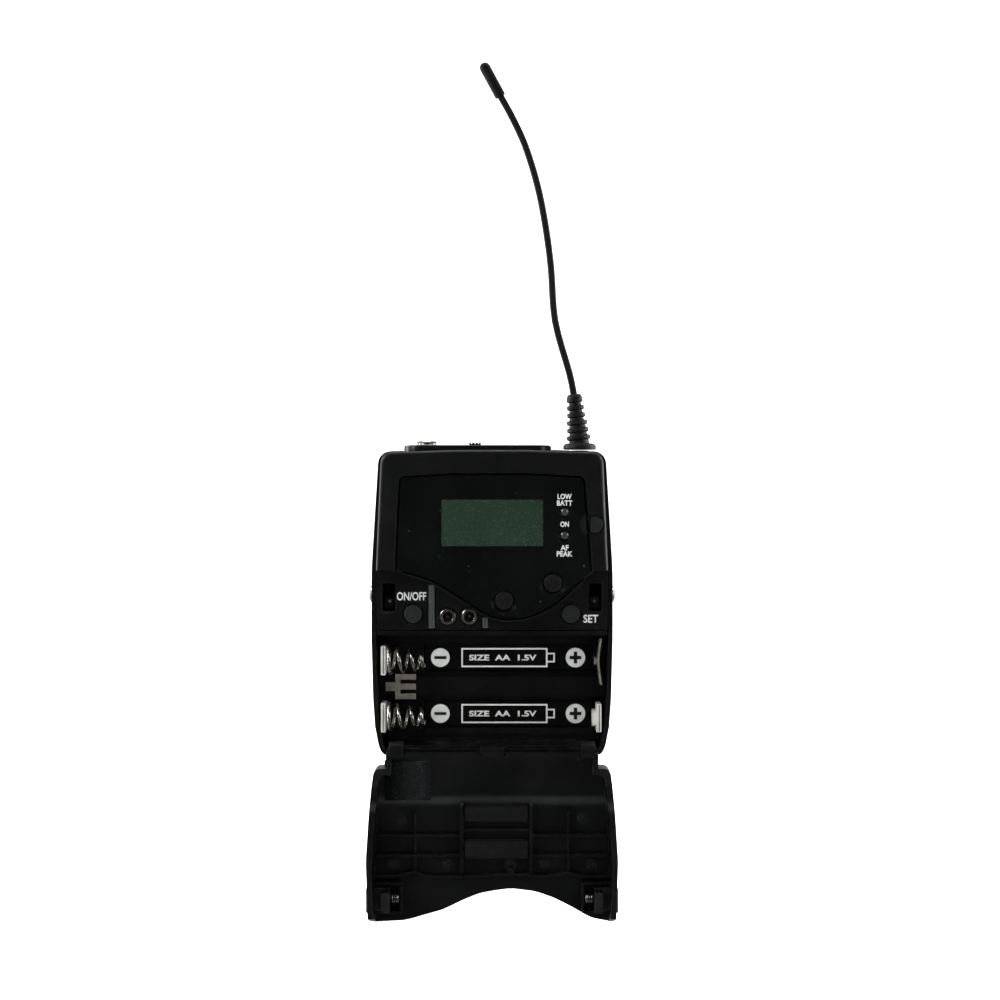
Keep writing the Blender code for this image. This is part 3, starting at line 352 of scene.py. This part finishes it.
BLACK = (0.0020, 0.0025, 0.0024)
SOFT_BLACK = (0.0036, 0.0043, 0.0041)
MATERIALS = {
    "case": moulded("case_black", BLACK, SOFT_BLACK, 0.42, 2400, 0.30, dust=0.2),
    "shell": moulded("shell_black", BLACK, SOFT_BLACK, 0.40, 2300, 0.32, dust=0.2, shine=0.4),
    "plate": moulded(
        "rear_plate_black", (0.004, 0.004, 0.004), (0.008, 0.008, 0.008),
        0.36, 1500, 0.2, shine=0.4,
    ),
    # painted highlight on the door from z -54.6 to -52.6 mm, where its skin curves
    "door": moulded(
        "door_black", (0.0020, 0.0025, 0.0025), (0.0042, 0.0048, 0.0047),
        0.38, 2100, 0.25, dust=0.3, sheen_band=(-54.6, -52.6),
    ),
    "door_smooth": moulded(
        "door_polished", (0.0050, 0.0062, 0.0064), (0.0068, 0.0082, 0.0084),
        0.25, 900, 0.08,
    ),
    "tray": moulded(
        "tray_black", (0.0016, 0.0018, 0.0017), (0.0034, 0.0037, 0.0035),
        0.48, 2600, 0.2, dust=0.25,
    ),
    "panel": smoked("smoked_window", (0.0012, 0.0014, 0.0015), (0.0026, 0.0030, 0.0030)),
    "panel_light": smoked("smoked_window_thin", (0.0060, 0.0068, 0.0068), (0.0078, 0.0086, 0.0086)),
    "infrared": smoked("infrared_window", (0.0085, 0.0092, 0.0094), (0.0115, 0.0122, 0.0124), 0.2),
    "lcd": lcd("lcd_glass"),
    "diffuser": moulded("white_diffuser", (0.50, 0.51, 0.48), (0.62, 0.63, 0.60), 0.5, 2000, 0.1),
    "board": circuit("circuit_board"),
    "shield": metal("tinned_steel", (0.45, 0.45, 0.43), (0.62, 0.62, 0.60), 0.32, 700),
    "silicone": moulded("keypad_silicone", (0.05, 0.05, 0.055), (0.08, 0.08, 0.085), 0.65, 1600, 0.2),
    "led": lens("led_lens", (0.030, 0.034, 0.033), (0.10, 0.11, 0.105)),
    "button": moulded(
        "button_grey", (0.0080, 0.0096, 0.0092), (0.0112, 0.0130, 0.0125),
        0.55, 2000, 0.35, edge=0.3,
    ),
    "panel_button": moulded(
        "panel_button_grey", (0.0036, 0.0043, 0.0041), (0.0054, 0.0062, 0.0059),
        0.5, 2000, 0.3, edge=0.3,
    ),
    "nickel": metal("nickel", (0.46, 0.44, 0.40), (0.80, 0.78, 0.74), 0.22, 900),
    "satin_nickel": metal(
        "satin_nickel", (0.40, 0.39, 0.36), (0.66, 0.65, 0.62),
        0.42, 1200, metallic=0.35,
    ),
    "strip": moulded("guide_grey", (0.020, 0.026, 0.025), (0.040, 0.048, 0.046), 0.55, 1500, 0.3),
    "black_metal": moulded(
        "black_anodised", (0.0035, 0.0040, 0.0040), (0.0075, 0.0080, 0.0078),
        0.3, 3200, 0.15, Metallic=0.2,
    ),
    "rubber": moulded(
        "antenna_rubber", (0.0034, 0.0042, 0.0041), (0.0064, 0.0072, 0.0070),
        0.5, 1900, 0.3, dust=0.2,
    ),
    "whip": moulded(
        "antenna_sleeve", (0.0016, 0.0021, 0.0020), (0.0034, 0.0040, 0.0039),
        0.55, 2100, 0.25, shine=0.15,
    ),
    "label": moulded("label_film", (0.0016, 0.0017, 0.0016), (0.0030, 0.0031, 0.0030), 0.33, 1200, 0.08),
    "bronze": metal("spring_bronze", (0.12, 0.11, 0.09), (0.25, 0.235, 0.20), 0.34, 1100, metallic=0.45),
    "steel": metal("dark_steel", (0.02, 0.02, 0.02), (0.05, 0.05, 0.05), 0.35, 900, stretch=(0.2, 1, 1)),
    "foam": foam("foam_pad"),
    "catch": moulded("catch_grey", (0.0060, 0.0068, 0.0066), (0.0100, 0.0110, 0.0105), 0.5, 1900, 0.3),
    "clip": metal("clip_steel", (0.36, 0.36, 0.37), (0.60, 0.60, 0.61), 0.24, 1000),
    "screw": metal("screw_black", (0.02, 0.02, 0.02), (0.05, 0.05, 0.05), 0.35, 900),
    "ink": printed("white_ink", (0.46, 0.47, 0.47), (0.38, 0.39, 0.39)),
    "label_ink": printed("label_ink", (0.58, 0.60, 0.58), (0.46, 0.48, 0.46)),
    # dark ink for printed marks, also used as painted shade along the battery contacts' folds
    "dark_ink_and_shade": printed("dark_ink_and_shade", (0.0020, 0.0021, 0.0021), (0.0012, 0.0012, 0.0012)),
    "hole": moulded(
        "deep_black", (0.0008, 0.0008, 0.0008), (0.0014, 0.0014, 0.0014),
        0.6, 2000, 0.1, shine=0.1,
    ),
    "glint": metal("latch_ball", (0.20, 0.20, 0.19), (0.34, 0.34, 0.33), 0.3, 900, metallic=0.6),
}
NODE_MATERIALS = {
    "rear_shell": "shell",
    "rear_plate": "plate",
    "front_cover": "case",
    "display_window": "panel",
    "lcd_module": "lcd",
    "lcd_backlight": "diffuser",
    "main_board": "board",
    "rf_shield": "shield",
    "keypad_mat": "silicone",
    "infrared_window": "infrared",
    "button_down": "panel_button",
    "button_up": "panel_button",
    "button_": "button",
    "charge_contact_": "nickel",
    "guide_strip_": "strip",
    "led_": "led",
    "top_plate": "black_metal",
    "jack_bushing": "nickel",
    "jack_body": "tray",
    "mute_switch": "case",
    "antenna_socket": "black_metal",
    "antenna_boot": "rubber",
    "antenna_": "whip",
    "battery_tray": "tray",
    "battery_label_": "label",
    "negative_plate_": "satin_nickel",
    "battery_spring_": "nickel",
    "positive_contact_upper": "bronze",
    "positive_contact_lower": "satin_nickel",
    "pack_contact": "bronze",
    "hinge_rod": "steel",
    "door_shell": "door",
    "door_pad_": "foam",
    "catch_spring_": "nickel",
    "catch_": "catch",
    "case_screw_": "screw",
    "belt_clip": "clip",
}


# Smooth shading of the CAD nodes


def smoothing_group(angle):
    """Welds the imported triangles, then shades smooth everything but the edges sharper than the angle."""
    group = bpy.data.node_groups.new("smooth_by_angle", "GeometryNodeTree")
    group.interface.new_socket("Geometry", in_out="INPUT", socket_type="NodeSocketGeometry")
    group.interface.new_socket("Geometry", in_out="OUTPUT", socket_type="NodeSocketGeometry")
    start, end = group.nodes.new("NodeGroupInput"), group.nodes.new("NodeGroupOutput")
    plain = group.nodes.new("GeometryNodeRemoveAttribute")
    plain.inputs["Name"].default_value = "custom_normal"
    weld = group.nodes.new("GeometryNodeMergeByDistance")
    weld.inputs["Distance"].default_value = 0.002 * MM
    faces = group.nodes.new("GeometryNodeSetShadeSmooth")
    edges = group.nodes.new("GeometryNodeSetShadeSmooth")
    edges.domain = "EDGE"
    edges.inputs["Shade Smooth"].default_value = False
    bend = group.nodes.new("GeometryNodeInputMeshEdgeAngle")
    sharp = group.nodes.new("FunctionNodeCompare")
    sharp.operation = "GREATER_THAN"
    sharp.inputs[1].default_value = math.radians(angle)
    group.links.new(bend.outputs["Unsigned Angle"], sharp.inputs[0])
    group.links.new(sharp.outputs["Result"], edges.inputs["Selection"])
    chain = [start, plain, weld, faces, edges, end]
    for first, second in zip(chain, chain[1:]):
        group.links.new(first.outputs[0], second.inputs[0])
    return group


SMOOTHING = smoothing_group(32)


def dress_nodes():
    for name, node in NODES.items():
        found = [kind for start, kind in NODE_MATERIALS.items() if name.startswith(start)]
        for slot in node.material_slots:
            slot.link = "OBJECT"
            slot.material = MATERIALS[found[0]]
        node.modifiers.new("Smooth", "NODES").node_group = SMOOTHING


# New pieces


def place_mesh(name, shape, material, body):
    mesh = bpy.data.meshes.new(name)
    shape.to_mesh(mesh)
    shape.free()
    mesh.materials.append(MATERIALS[material])
    item = bpy.data.objects.new(name, mesh)
    bpy.context.scene.collection.objects.link(item)
    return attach(item, body)


def plate(shape, outline, y, thickness):
    """Adds a thin plate whose front face lies at this depth, from an x, z outline in millimetres."""
    front = [shape.verts.new((x * MM, y * MM, z * MM)) for x, z in outline]
    back = [shape.verts.new((x * MM, (y + thickness) * MM, z * MM)) for x, z in outline]
    shape.faces.new(front)
    shape.faces.new(back[::-1])
    for n in range(len(front)):
        shape.faces.new((front[n - 1], back[n - 1], back[n], front[n]))


def ring_plate(shape, outer, inner, y, thickness):
    """Thin plate with a hole, between two outlines with the same number of points."""
    rows = [
        [shape.verts.new((x * MM, depth * MM, z * MM)) for x, z in outline]
        for outline, depth in ((outer, y), (inner, y), (inner, y + thickness), (outer, y + thickness))
    ]
    count = len(outer)
    for first, second in zip(rows, rows[1:] + rows[:1]):
        for n in range(count):
            shape.faces.new((first[n - 1], second[n - 1], second[n], first[n]))


def circle(x, z, radius, steps=40):
    turns = [2 * math.pi * k / steps for k in range(steps)]
    return [(x + radius * math.cos(t), z + radius * math.sin(t)) for t in turns]


def rectangle(x0, x1, z0, z1, radius=0.0, steps=4):
    points = []
    for cx, cz, start in (
        (x1 - radius, z1 - radius, 0),
        (x0 + radius, z1 - radius, 1),
        (x0 + radius, z0 + radius, 2),
        (x1 - radius, z0 + radius, 3),
    ):
        for k in range(steps + 1 if radius else 1):
            t = (start + (k / steps if radius else 0)) * math.pi / 2
            points.append((cx + radius * math.cos(t), cz + radius * math.sin(t)))
    return points


INK = 0.012  # how far printed marks stand off their surface, in millimetres


def marks(name, outlines, y, material, body, thickness=INK):
    """One piece from several flat outlines. A pair of outlines is a ring."""
    shape = bmesh.new()
    for outline in outlines:
        if isinstance(outline[0], list):
            ring_plate(shape, outline[0], outline[1], y - thickness, thickness)
        else:
            plate(shape, outline, y - thickness, thickness)
    bmesh.ops.recalc_face_normals(shape, faces=shape.faces)
    return place_mesh(name, shape, material, body)


def lettering(name, words, x, z, y, material, body, weight=0.03):
    """Words fitted into a range of x and a range of z, on a plane that faces the front."""
    curve = bpy.data.curves.new(name, "FONT")
    curve.body = words
    curve.extrude = 0.01
    curve.offset = weight
    curve.resolution_u = 4
    text = bpy.data.objects.new(name + "_text", curve)
    bpy.context.scene.collection.objects.link(text)
    bpy.context.view_layer.update()
    mesh = bpy.data.meshes.new_from_object(text.evaluated_get(bpy.context.evaluated_depsgraph_get()))
    bpy.data.objects.remove(text)
    shape = bmesh.new()
    shape.from_mesh(mesh)
    bmesh.ops.remove_doubles(shape, verts=shape.verts, dist=0.0001)
    spans = [[f(v.co[k] for v in shape.verts) for f in (min, max)] for k in range(2)]
    scale = [(to[1] - to[0]) / (span[1] - span[0]) for to, span in zip((x, z), spans)]
    for vert in shape.verts:
        flat = [to[0] + (vert.co[k] - spans[k][0]) * scale[k] for k, to in enumerate((x, z))]
        vert.co = Vector((flat[0], y - INK / 2 - INK / 2 * (1 if vert.co.z > 0 else -1), flat[1])) * MM
    bmesh.ops.recalc_face_normals(shape, faces=shape.faces)
    return place_mesh(name, shape, material, body)


def tube(name, route, radius, material, body, steps=6):
    """Round wire along a route of points in millimetres, as a mesh."""
    curve = bpy.data.curves.new(name, "CURVE")
    curve.dimensions = "3D"
    curve.bevel_depth = radius * MM
    curve.bevel_resolution = steps
    curve.use_fill_caps = True
    line = curve.splines.new("POLY")
    line.points.add(len(route) - 1)
    for point, place in zip(line.points, route):
        point.co = (*(Vector(place) * MM), 1)
    line.use_smooth = True
    drawn = bpy.data.objects.new(name, curve)
    bpy.context.scene.collection.objects.link(drawn)
    bpy.context.view_layer.update()
    mesh = bpy.data.meshes.new_from_object(drawn.evaluated_get(bpy.context.evaluated_depsgraph_get()))
    bpy.data.objects.remove(drawn, do_unlink=True)
    bpy.data.curves.remove(curve)
    shape = bmesh.new()
    shape.from_mesh(mesh)
    bpy.data.meshes.remove(mesh)
    for face in shape.faces:
        face.smooth = len(face.verts) == 4
    return place_mesh(name, shape, material, body)


END_PITCH = 0.25


def coil(x0, x1, y, z, radii, turns, steps=40, flat=0.75):
    """Compression spring along X, whose end turns climb at a quarter of the pitch of the others."""
    route = []
    total = round(turns * steps)
    whole = 2 * flat * END_PITCH + turns - 2 * flat
    for k in range(total + 1):
        share = k / total
        done = share * turns
        ends = min(done, flat) + max(0.0, done - turns + flat)
        lead = ends * END_PITCH + max(0.0, min(done, turns - flat) - flat)
        radius = radii[0] + (radii[1] - radii[0]) * share
        angle = 2 * math.pi * done
        x = x0 + (x1 - x0) * lead / whole
        route.append((x, y + radius * math.cos(angle), z + radius * math.sin(angle)))
    return route


dress_nodes()


# Lettering and marks on the front

PANEL = low("display_window").y
ZONE = high("guide_strip_left").y - 0.6  # the button zone's surface
LIGHT_X = middle("led_peak").x
INFRARED_SHADE = (26.2, 20.3, 3.3, 24.45)  # centre x and z, radius, and where it is cut straight
ARROW = (1.0, 0.85)  # half width and half height
WELL_RADII = (1.34, 0.46)
LATCH_X = (25.3, 28.75)
LATCH_LIP = ((-2.7, 5.2), (-2.38, 4.88))  # z ranges of the lip's outer and inner edges
LATCH_KEEPER_Z = (-1.9, 1.2)
LATCH_DEPTH = -15.6
BALL_RADIUS = 0.62
BALL_DEPTH = -15.4


def centred(x, width):
    return x - width / 2, x + width / 2


def up_from(z, cap):
    return z - cap / 2, z + cap / 2


def panel_words():
    for name, words, width, z in (
        ("mark_low", "LOW", 3.7, 27.6),
        ("mark_batt", "BATT", 4.0, 25.9),
        ("mark_on", "ON", 2.25, 20.4),
        ("mark_af", "AF", 2.1, 14.3),
        ("mark_peak", "PEAK", 4.1, 12.7),
    ):
        lettering(name, words, centred(LIGHT_X, width), up_from(z, 1.4), PANEL, "ink", "root")
    lettering("mark_on_off", "ON/OFF", (-24.9, -17.2), up_from(1.5, 2.2), ZONE, "ink", "root", 0.015)
    lettering("mark_set", "SET", (23.95, 27.8), up_from(-4.4, 2.1), ZONE, "ink", "root", 0.015)


def lcd_face():
    """The display as it shows through the window, flush with the window's front."""
    x0, z0 = low("lcd_module").x, low("lcd_module").z
    x1, z1 = high("lcd_module").x, high("lcd_module").z
    face = marks("lcd_face", [rectangle(x0, x1, z0, z1, 0.3)], PANEL, "lcd", "root")


def infrared_shade():
    """The infrared window's round frame where it runs on under the display panel."""
    x, z, reach, end = INFRARED_SHADE
    steps = 12
    turns = [math.pi + t * math.acos((x - end) / reach) / steps for t in range(-steps, steps + 1)]
    outline = [(x + reach * math.cos(t), z + reach * math.sin(t)) for t in turns]
    marks("infrared_shade", [outline], PANEL, "panel_light", "root", 0.006)


def button_arrows():
    for name, body, point in (("mark_down", "button_down", -1), ("mark_up", "button_up", 1)):
        centre, y = middle(body), low(body).y
        half, tall = ARROW
        base, tip = centre.z - point * tall, centre.z + point * tall
        outline = [(centre.x - half, base), (centre.x + half, base), (centre.x, tip)]
        marks(name, [outline], y, "dark_ink_and_shade", body)


def contact_wells():
    """Dark insulator between each charging ring and its middle pin."""
    for name in ("left", "right"):
        node = f"charge_contact_{name}"
        centre = middle(node)
        well = [circle(centre.x, centre.z, radius) for radius in WELL_RADII]
        marks(f"charge_well_{name}", [well], low(node).y + 0.5, "hole", "root", 0.3)


def latch_windows():
    """Raised lip round each latch window, and the sprung ball seen deep inside it."""
    for side, name in ((-1, "left"), (1, "right")):
        x0, x1 = sorted(side * x for x in LATCH_X)
        outside, inside = LATCH_LIP
        outer = rectangle(x0 - 0.3, x1 + 0.3, *outside, 0.3)
        inner = rectangle(x0 + 0.02, x1 - 0.02, *inside, 0.3)
        marks(f"latch_lip_{name}", [[outer, inner]], ZONE, "case", "root", 0.08)
        keeper = rectangle(x0 + 0.5, x1 - 0.5, *LATCH_KEEPER_Z, 0.4)
        marks(f"latch_keeper_{name}", [keeper], LATCH_DEPTH, "catch", "root", 0.25)
        ball = bmesh.new()
        bmesh.ops.create_uvsphere(ball, u_segments=20, v_segments=12, radius=BALL_RADIUS * MM)
        place = Vector(((x0 + x1) / 2, BALL_DEPTH, 0.0)) * MM
        bmesh.ops.translate(ball, verts=ball.verts, vec=place)
        for face in ball.faces:
            face.smooth = True
        place_mesh(f"latch_ball_{name}", ball, "glint", "root")


# Battery bay

LABELS = {"upper": -16.1, "lower": -31.3}


CELL_DRAWING = (-8.4, 15.0, 2.6)  # x range and half height of the drawn cell
CELL_NUB = (17.0, 1.3)  # where its button ends, and the button's half height
CELL_LINE = 0.42
MINUS_X, MINUS_DISC = -14.1, 2.55
PLUS_X, PLUS_DISC = 22.6, 2.65
MINUS_BAR = (1.65, 0.4)  # half length and half thickness
PLUS_BAR = (1.6, 0.46)


def corners(x0, x1, z0, z1):
    return [(x0, z0), (x1, z0), (x1, z1), (x0, z1)]


def cell_outline(z):
    """The drawn cell and its button, each as a pair of outlines."""
    x0, x1, half = CELL_DRAWING
    nub, nub_half = CELL_NUB
    line = CELL_LINE
    body = corners(x0, x1, z - half, z + half)
    inside = corners(x0 + line, x1 - line, z - half + line, z + half - line)
    button = corners(x1, nub, z - nub_half, z + nub_half)
    button_inside = corners(x1 + 0.02, nub - line, z - nub_half + line, z + nub_half - line)
    return [[body, inside], [button, button_inside]]


def polarity_signs(z):
    """Minus bar, and a plus sign made of one bar and two stubs that stand off it by a hair."""
    reach, half = MINUS_BAR
    minus = rectangle(MINUS_X - reach, MINUS_X + reach, z - half, z + half)
    reach, half = PLUS_BAR
    bar = rectangle(PLUS_X - reach, PLUS_X + reach, z - half, z + half)
    start = half + 0.01
    upper = rectangle(PLUS_X - half, PLUS_X + half, z + start, z + reach)
    lower = rectangle(PLUS_X - half, PLUS_X + half, z - reach, z - start)
    return [minus, bar, upper, lower]


def battery_marks():
    for name, z in LABELS.items():
        y = low(f"battery_label_{name}").y
        marks(f"battery_outline_{name}", cell_outline(z), y, "label_ink", "root")
        words, x = "SIZE  AA  1.5V", (-6.3, 12.0)
        lettering(f"battery_size_{name}", words, x, up_from(z, 1.6), y, "label_ink", "root", 0.03)
        discs = [circle(MINUS_X, z, MINUS_DISC), circle(PLUS_X, z, PLUS_DISC)]
        marks(f"polarity_discs_{name}", discs, y, "label_ink", "root")
        marks(f"polarity_signs_{name}", polarity_signs(z), y - INK, "dark_ink_and_shade", "root")


def battery_springs():
    for name, z in LABELS.items():
        route = coil(-27.7, -18.3, -11.4, z, (3.8, 1.9), 3.9)
        piece = tube(f"spring_wire_{name}", route, 0.43, "nickel", "root", 8)
        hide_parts(f"battery_spring_{name}")


def catch_springs():
    """Springs behind the catches, each one riding with its catch."""
    for side, name in ((-1, "left"), (1, "right")):
        node = f"catch_spring_{name}"
        inner, outer = sorted((low(node).x, high(node).x), key=abs)
        y, z = middle(node).y, middle(node).z
        route = coil(inner + 0.2 * side, outer - 0.2 * side, y, z, (1.05, 1.05), 4.5, flat=1.0)
        piece = tube(f"spring_wire_catch_{name}", route, 0.17, "nickel", f"catch_{name}")
        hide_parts(node)
        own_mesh(piece)


def plate_fold_shades():
    """Painted shade: a dark line down the folded edge of each stout battery contact, where the fold turns
    away from the light.
    """
    for node in ("negative_plate_upper", "negative_plate_lower", "positive_contact_lower"):
        x = high(node).x - 0.62 if node.startswith("positive") else middle(node).x
        # painted shade along the fold
        fold_shade = rectangle(x - 0.11, x + 0.11, low(node).z + 0.35, high(node).z - 0.35)
        marks(f"fold_shade_{node}", [fold_shade], low(node).y, "dark_ink_and_shade", "root")


# Inside of the open door

HINGE_Z = -39.2
DOOR_BACK = high("door_shell").y
DOOR_SKIN = 1.1
DOOR_BEND = 13.0  # distance from the hinge at which the skin runs flat
DOOR_START = -14.5  # depth of the skin next to the hinge
EJECTOR_MARKS = (
    (-24.4, 19.7),
    (-26.3, 31.2),
    (-11.9, 31.2),
    (14.0, 31.2),
    (26.6, 31.2),
    (24.1, 19.3),
    (5.0, 31.6),
)


def skin_y(d):
    """Depth of the open door's inner skin, at a distance from the hinge axis."""
    rise = math.sqrt(1 - (1 - min(d, DOOR_BEND) / DOOR_BEND) ** 2)
    return DOOR_START + (DOOR_BACK - DOOR_START) * rise - DOOR_SKIN


def door_patch(name, x0, x1, d0, d1, material, thickness):
    """Thin smooth plate that follows the door's curved skin."""
    shape = bmesh.new()
    count = 14
    rows = []
    for proud in (thickness, -0.02):
        for x in (x0, x1):
            line = []
            for k in range(count + 1):
                d = d0 + (d1 - d0) * k / count
                line.append(shape.verts.new(Vector((x, skin_y(d) - proud, HINGE_Z - d)) * MM))
            rows.append(line)
    front_left, front_right, back_left, back_right = rows
    strips = [front_left, front_right, back_right, back_left]
    for a, b in zip(strips, strips[1:] + strips[:1]):
        for k in range(count):
            shape.faces.new((a[k], a[k + 1], b[k + 1], b[k]))
    for k in (0, count):
        shape.faces.new((front_left[k], front_right[k], back_right[k], back_left[k]))
    bmesh.ops.recalc_face_normals(shape, faces=shape.faces)
    for face in shape.faces:
        face.smooth = len(face.verts) == 4 and abs(face.normal.x) < 0.5
    return place_mesh(name, shape, material, "battery_door")


def door_inside():
    door_patch("door_smooth_patch", -28.7, -16.4, 3.4, 14.4, "door_smooth", 0.12)
    for n, (x, d) in enumerate(EJECTOR_MARKS, 1):
        ring = [circle(x, HINGE_Z - d, 1.55), circle(x, HINGE_Z - d, 1.3)]
        dot = circle(x, HINGE_Z - d, 1.1)
        marks(f"ejector_mark_{n}", [ring, dot], skin_y(d), "door_smooth", "battery_door", 0.08)


panel_words()
lcd_face()
infrared_shade()
button_arrows()
contact_wells()
latch_windows()
battery_marks()
battery_springs()
catch_springs()
plate_fold_shades()
door_inside()


# Stage, light and camera


def stage_dish():
    """Pale floor that turns up into a wall far from the object, and glows except in front of it."""
    floor_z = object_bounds()[0].z - 0.0002
    flat, turn, height = 1.4, 0.9, 2.6
    profile = [(0.0, 0.0), (0.4, 0.0), (flat, 0.0)]
    for angle in (0.3, 0.6, 0.9, 1.2, math.pi / 2):
        profile.append((flat + turn * math.sin(angle), turn * (1 - math.cos(angle))))
    profile.append((flat + turn, height))
    shape = bmesh.new()
    row = [shape.verts.new((r, 0, z + floor_z)) for r, z in profile]
    edges = [shape.edges.new(pair) for pair in zip(row, row[1:])]
    bmesh.ops.spin(shape, geom=[*row, *edges], axis=(0, 0, 1), cent=(0, 0, 0), angle=2 * math.pi, steps=96,
                   use_duplicate=False)
    bmesh.ops.remove_doubles(shape, verts=shape.verts, dist=0.0001)
    bmesh.ops.recalc_face_normals(shape, faces=shape.faces)
    mesh = bpy.data.meshes.new("floor")
    shape.to_mesh(mesh)
    shape.free()
    mesh.shade_smooth()
    t = Tree("pale_floor")
    place = t.node("TexCoord").outputs["Object"]
    parts = t.node("SeparateXYZ")
    t.link(place, parts.inputs["Vector"])
    glow = t.spread(parts.outputs["Y"], -0.40, -0.10, 0.0, 0.9, smooth=True)
    t.set(
        Base_Color=t.blend(t.noise(place, 2.0, 2), (0.82, 0.82, 0.82), (0.86, 0.86, 0.86)),
        Roughness=0.9,
        Emission_Color=(1.0, 1.0, 1.0),
        Emission_Strength=glow,
    )
    mesh.materials.append(t.material)
    floor = bpy.data.objects.new("floor", mesh)
    bpy.context.scene.collection.objects.link(floor)
    floor.visible_glossy = False
    floor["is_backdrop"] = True


def softbox(name, place, size, power):
    """Rectangular lamp aimed at the origin."""
    light = bpy.data.lights.new(name, "AREA")
    light.shape = "RECTANGLE"
    light.size, light.size_y = size
    light.energy = power
    item = bpy.data.objects.new(name, light)
    bpy.context.scene.collection.objects.link(item)
    item.location = place
    item.rotation_euler = (-Vector(place)).to_track_quat("-Z", "Y").to_euler()


def sky():
    """Soft surround: bright behind the object, as the white sweep would be, and dim in front of it."""
    world = bpy.data.worlds.new("studio")
    bpy.context.scene.world = world
    world.use_nodes = True
    tree = world.node_tree
    background = tree.nodes["Background"]
    place = tree.nodes.new("ShaderNodeTexCoord")
    parts = tree.nodes.new("ShaderNodeSeparateXYZ")
    ramp = tree.nodes.new("ShaderNodeMapRange")
    ramp.inputs["From Min"].default_value = -0.6
    ramp.inputs["From Max"].default_value = 0.7
    ramp.inputs["To Min"].default_value = 0.035
    ramp.inputs["To Max"].default_value = 0.75
    tree.links.new(place.outputs["Generated"], parts.inputs["Vector"])
    tree.links.new(parts.outputs["Y"], ramp.inputs["Value"])
    tree.links.new(ramp.outputs["Result"], background.inputs["Strength"])
    background.inputs["Color"].default_value = (1.0, 1.0, 1.0, 1)


def studio():
    stage_dish()
    sky()
    softbox("key", (-0.85, -0.50, 0.55), (0.4, 0.4), 5.2)
    softbox("fill", (0.95, -0.45, 0.25), (0.4, 0.5), 2.4)
    softbox("top", (0.0, 0.1, 0.9), (0.7, 0.5), 4)
    softbox("left_edge", (-0.7, 0.25, 0.15), (0.25, 0.8), 6)
    softbox("right_edge", (0.7, 0.25, 0.15), (0.25, 0.8), 6)
    bpy.context.scene.view_settings.view_transform = "Standard"


CAMERA_PLACE = (0.0021, -0.440, 0.0267)


def camera():
    """Straight on from the front, at the height of the display."""
    data = bpy.data.cameras.new("camera")
    data.lens, data.sensor_width = 57.8, 36.0
    data.clip_start, data.clip_end = 0.01, 20.0
    item = bpy.data.objects.new("camera", data)
    bpy.context.scene.collection.objects.link(item)
    item.location = CAMERA_PLACE
    item.rotation_euler = (math.pi / 2, 0, 0)
    bpy.context.scene.camera = item


studio()
camera()
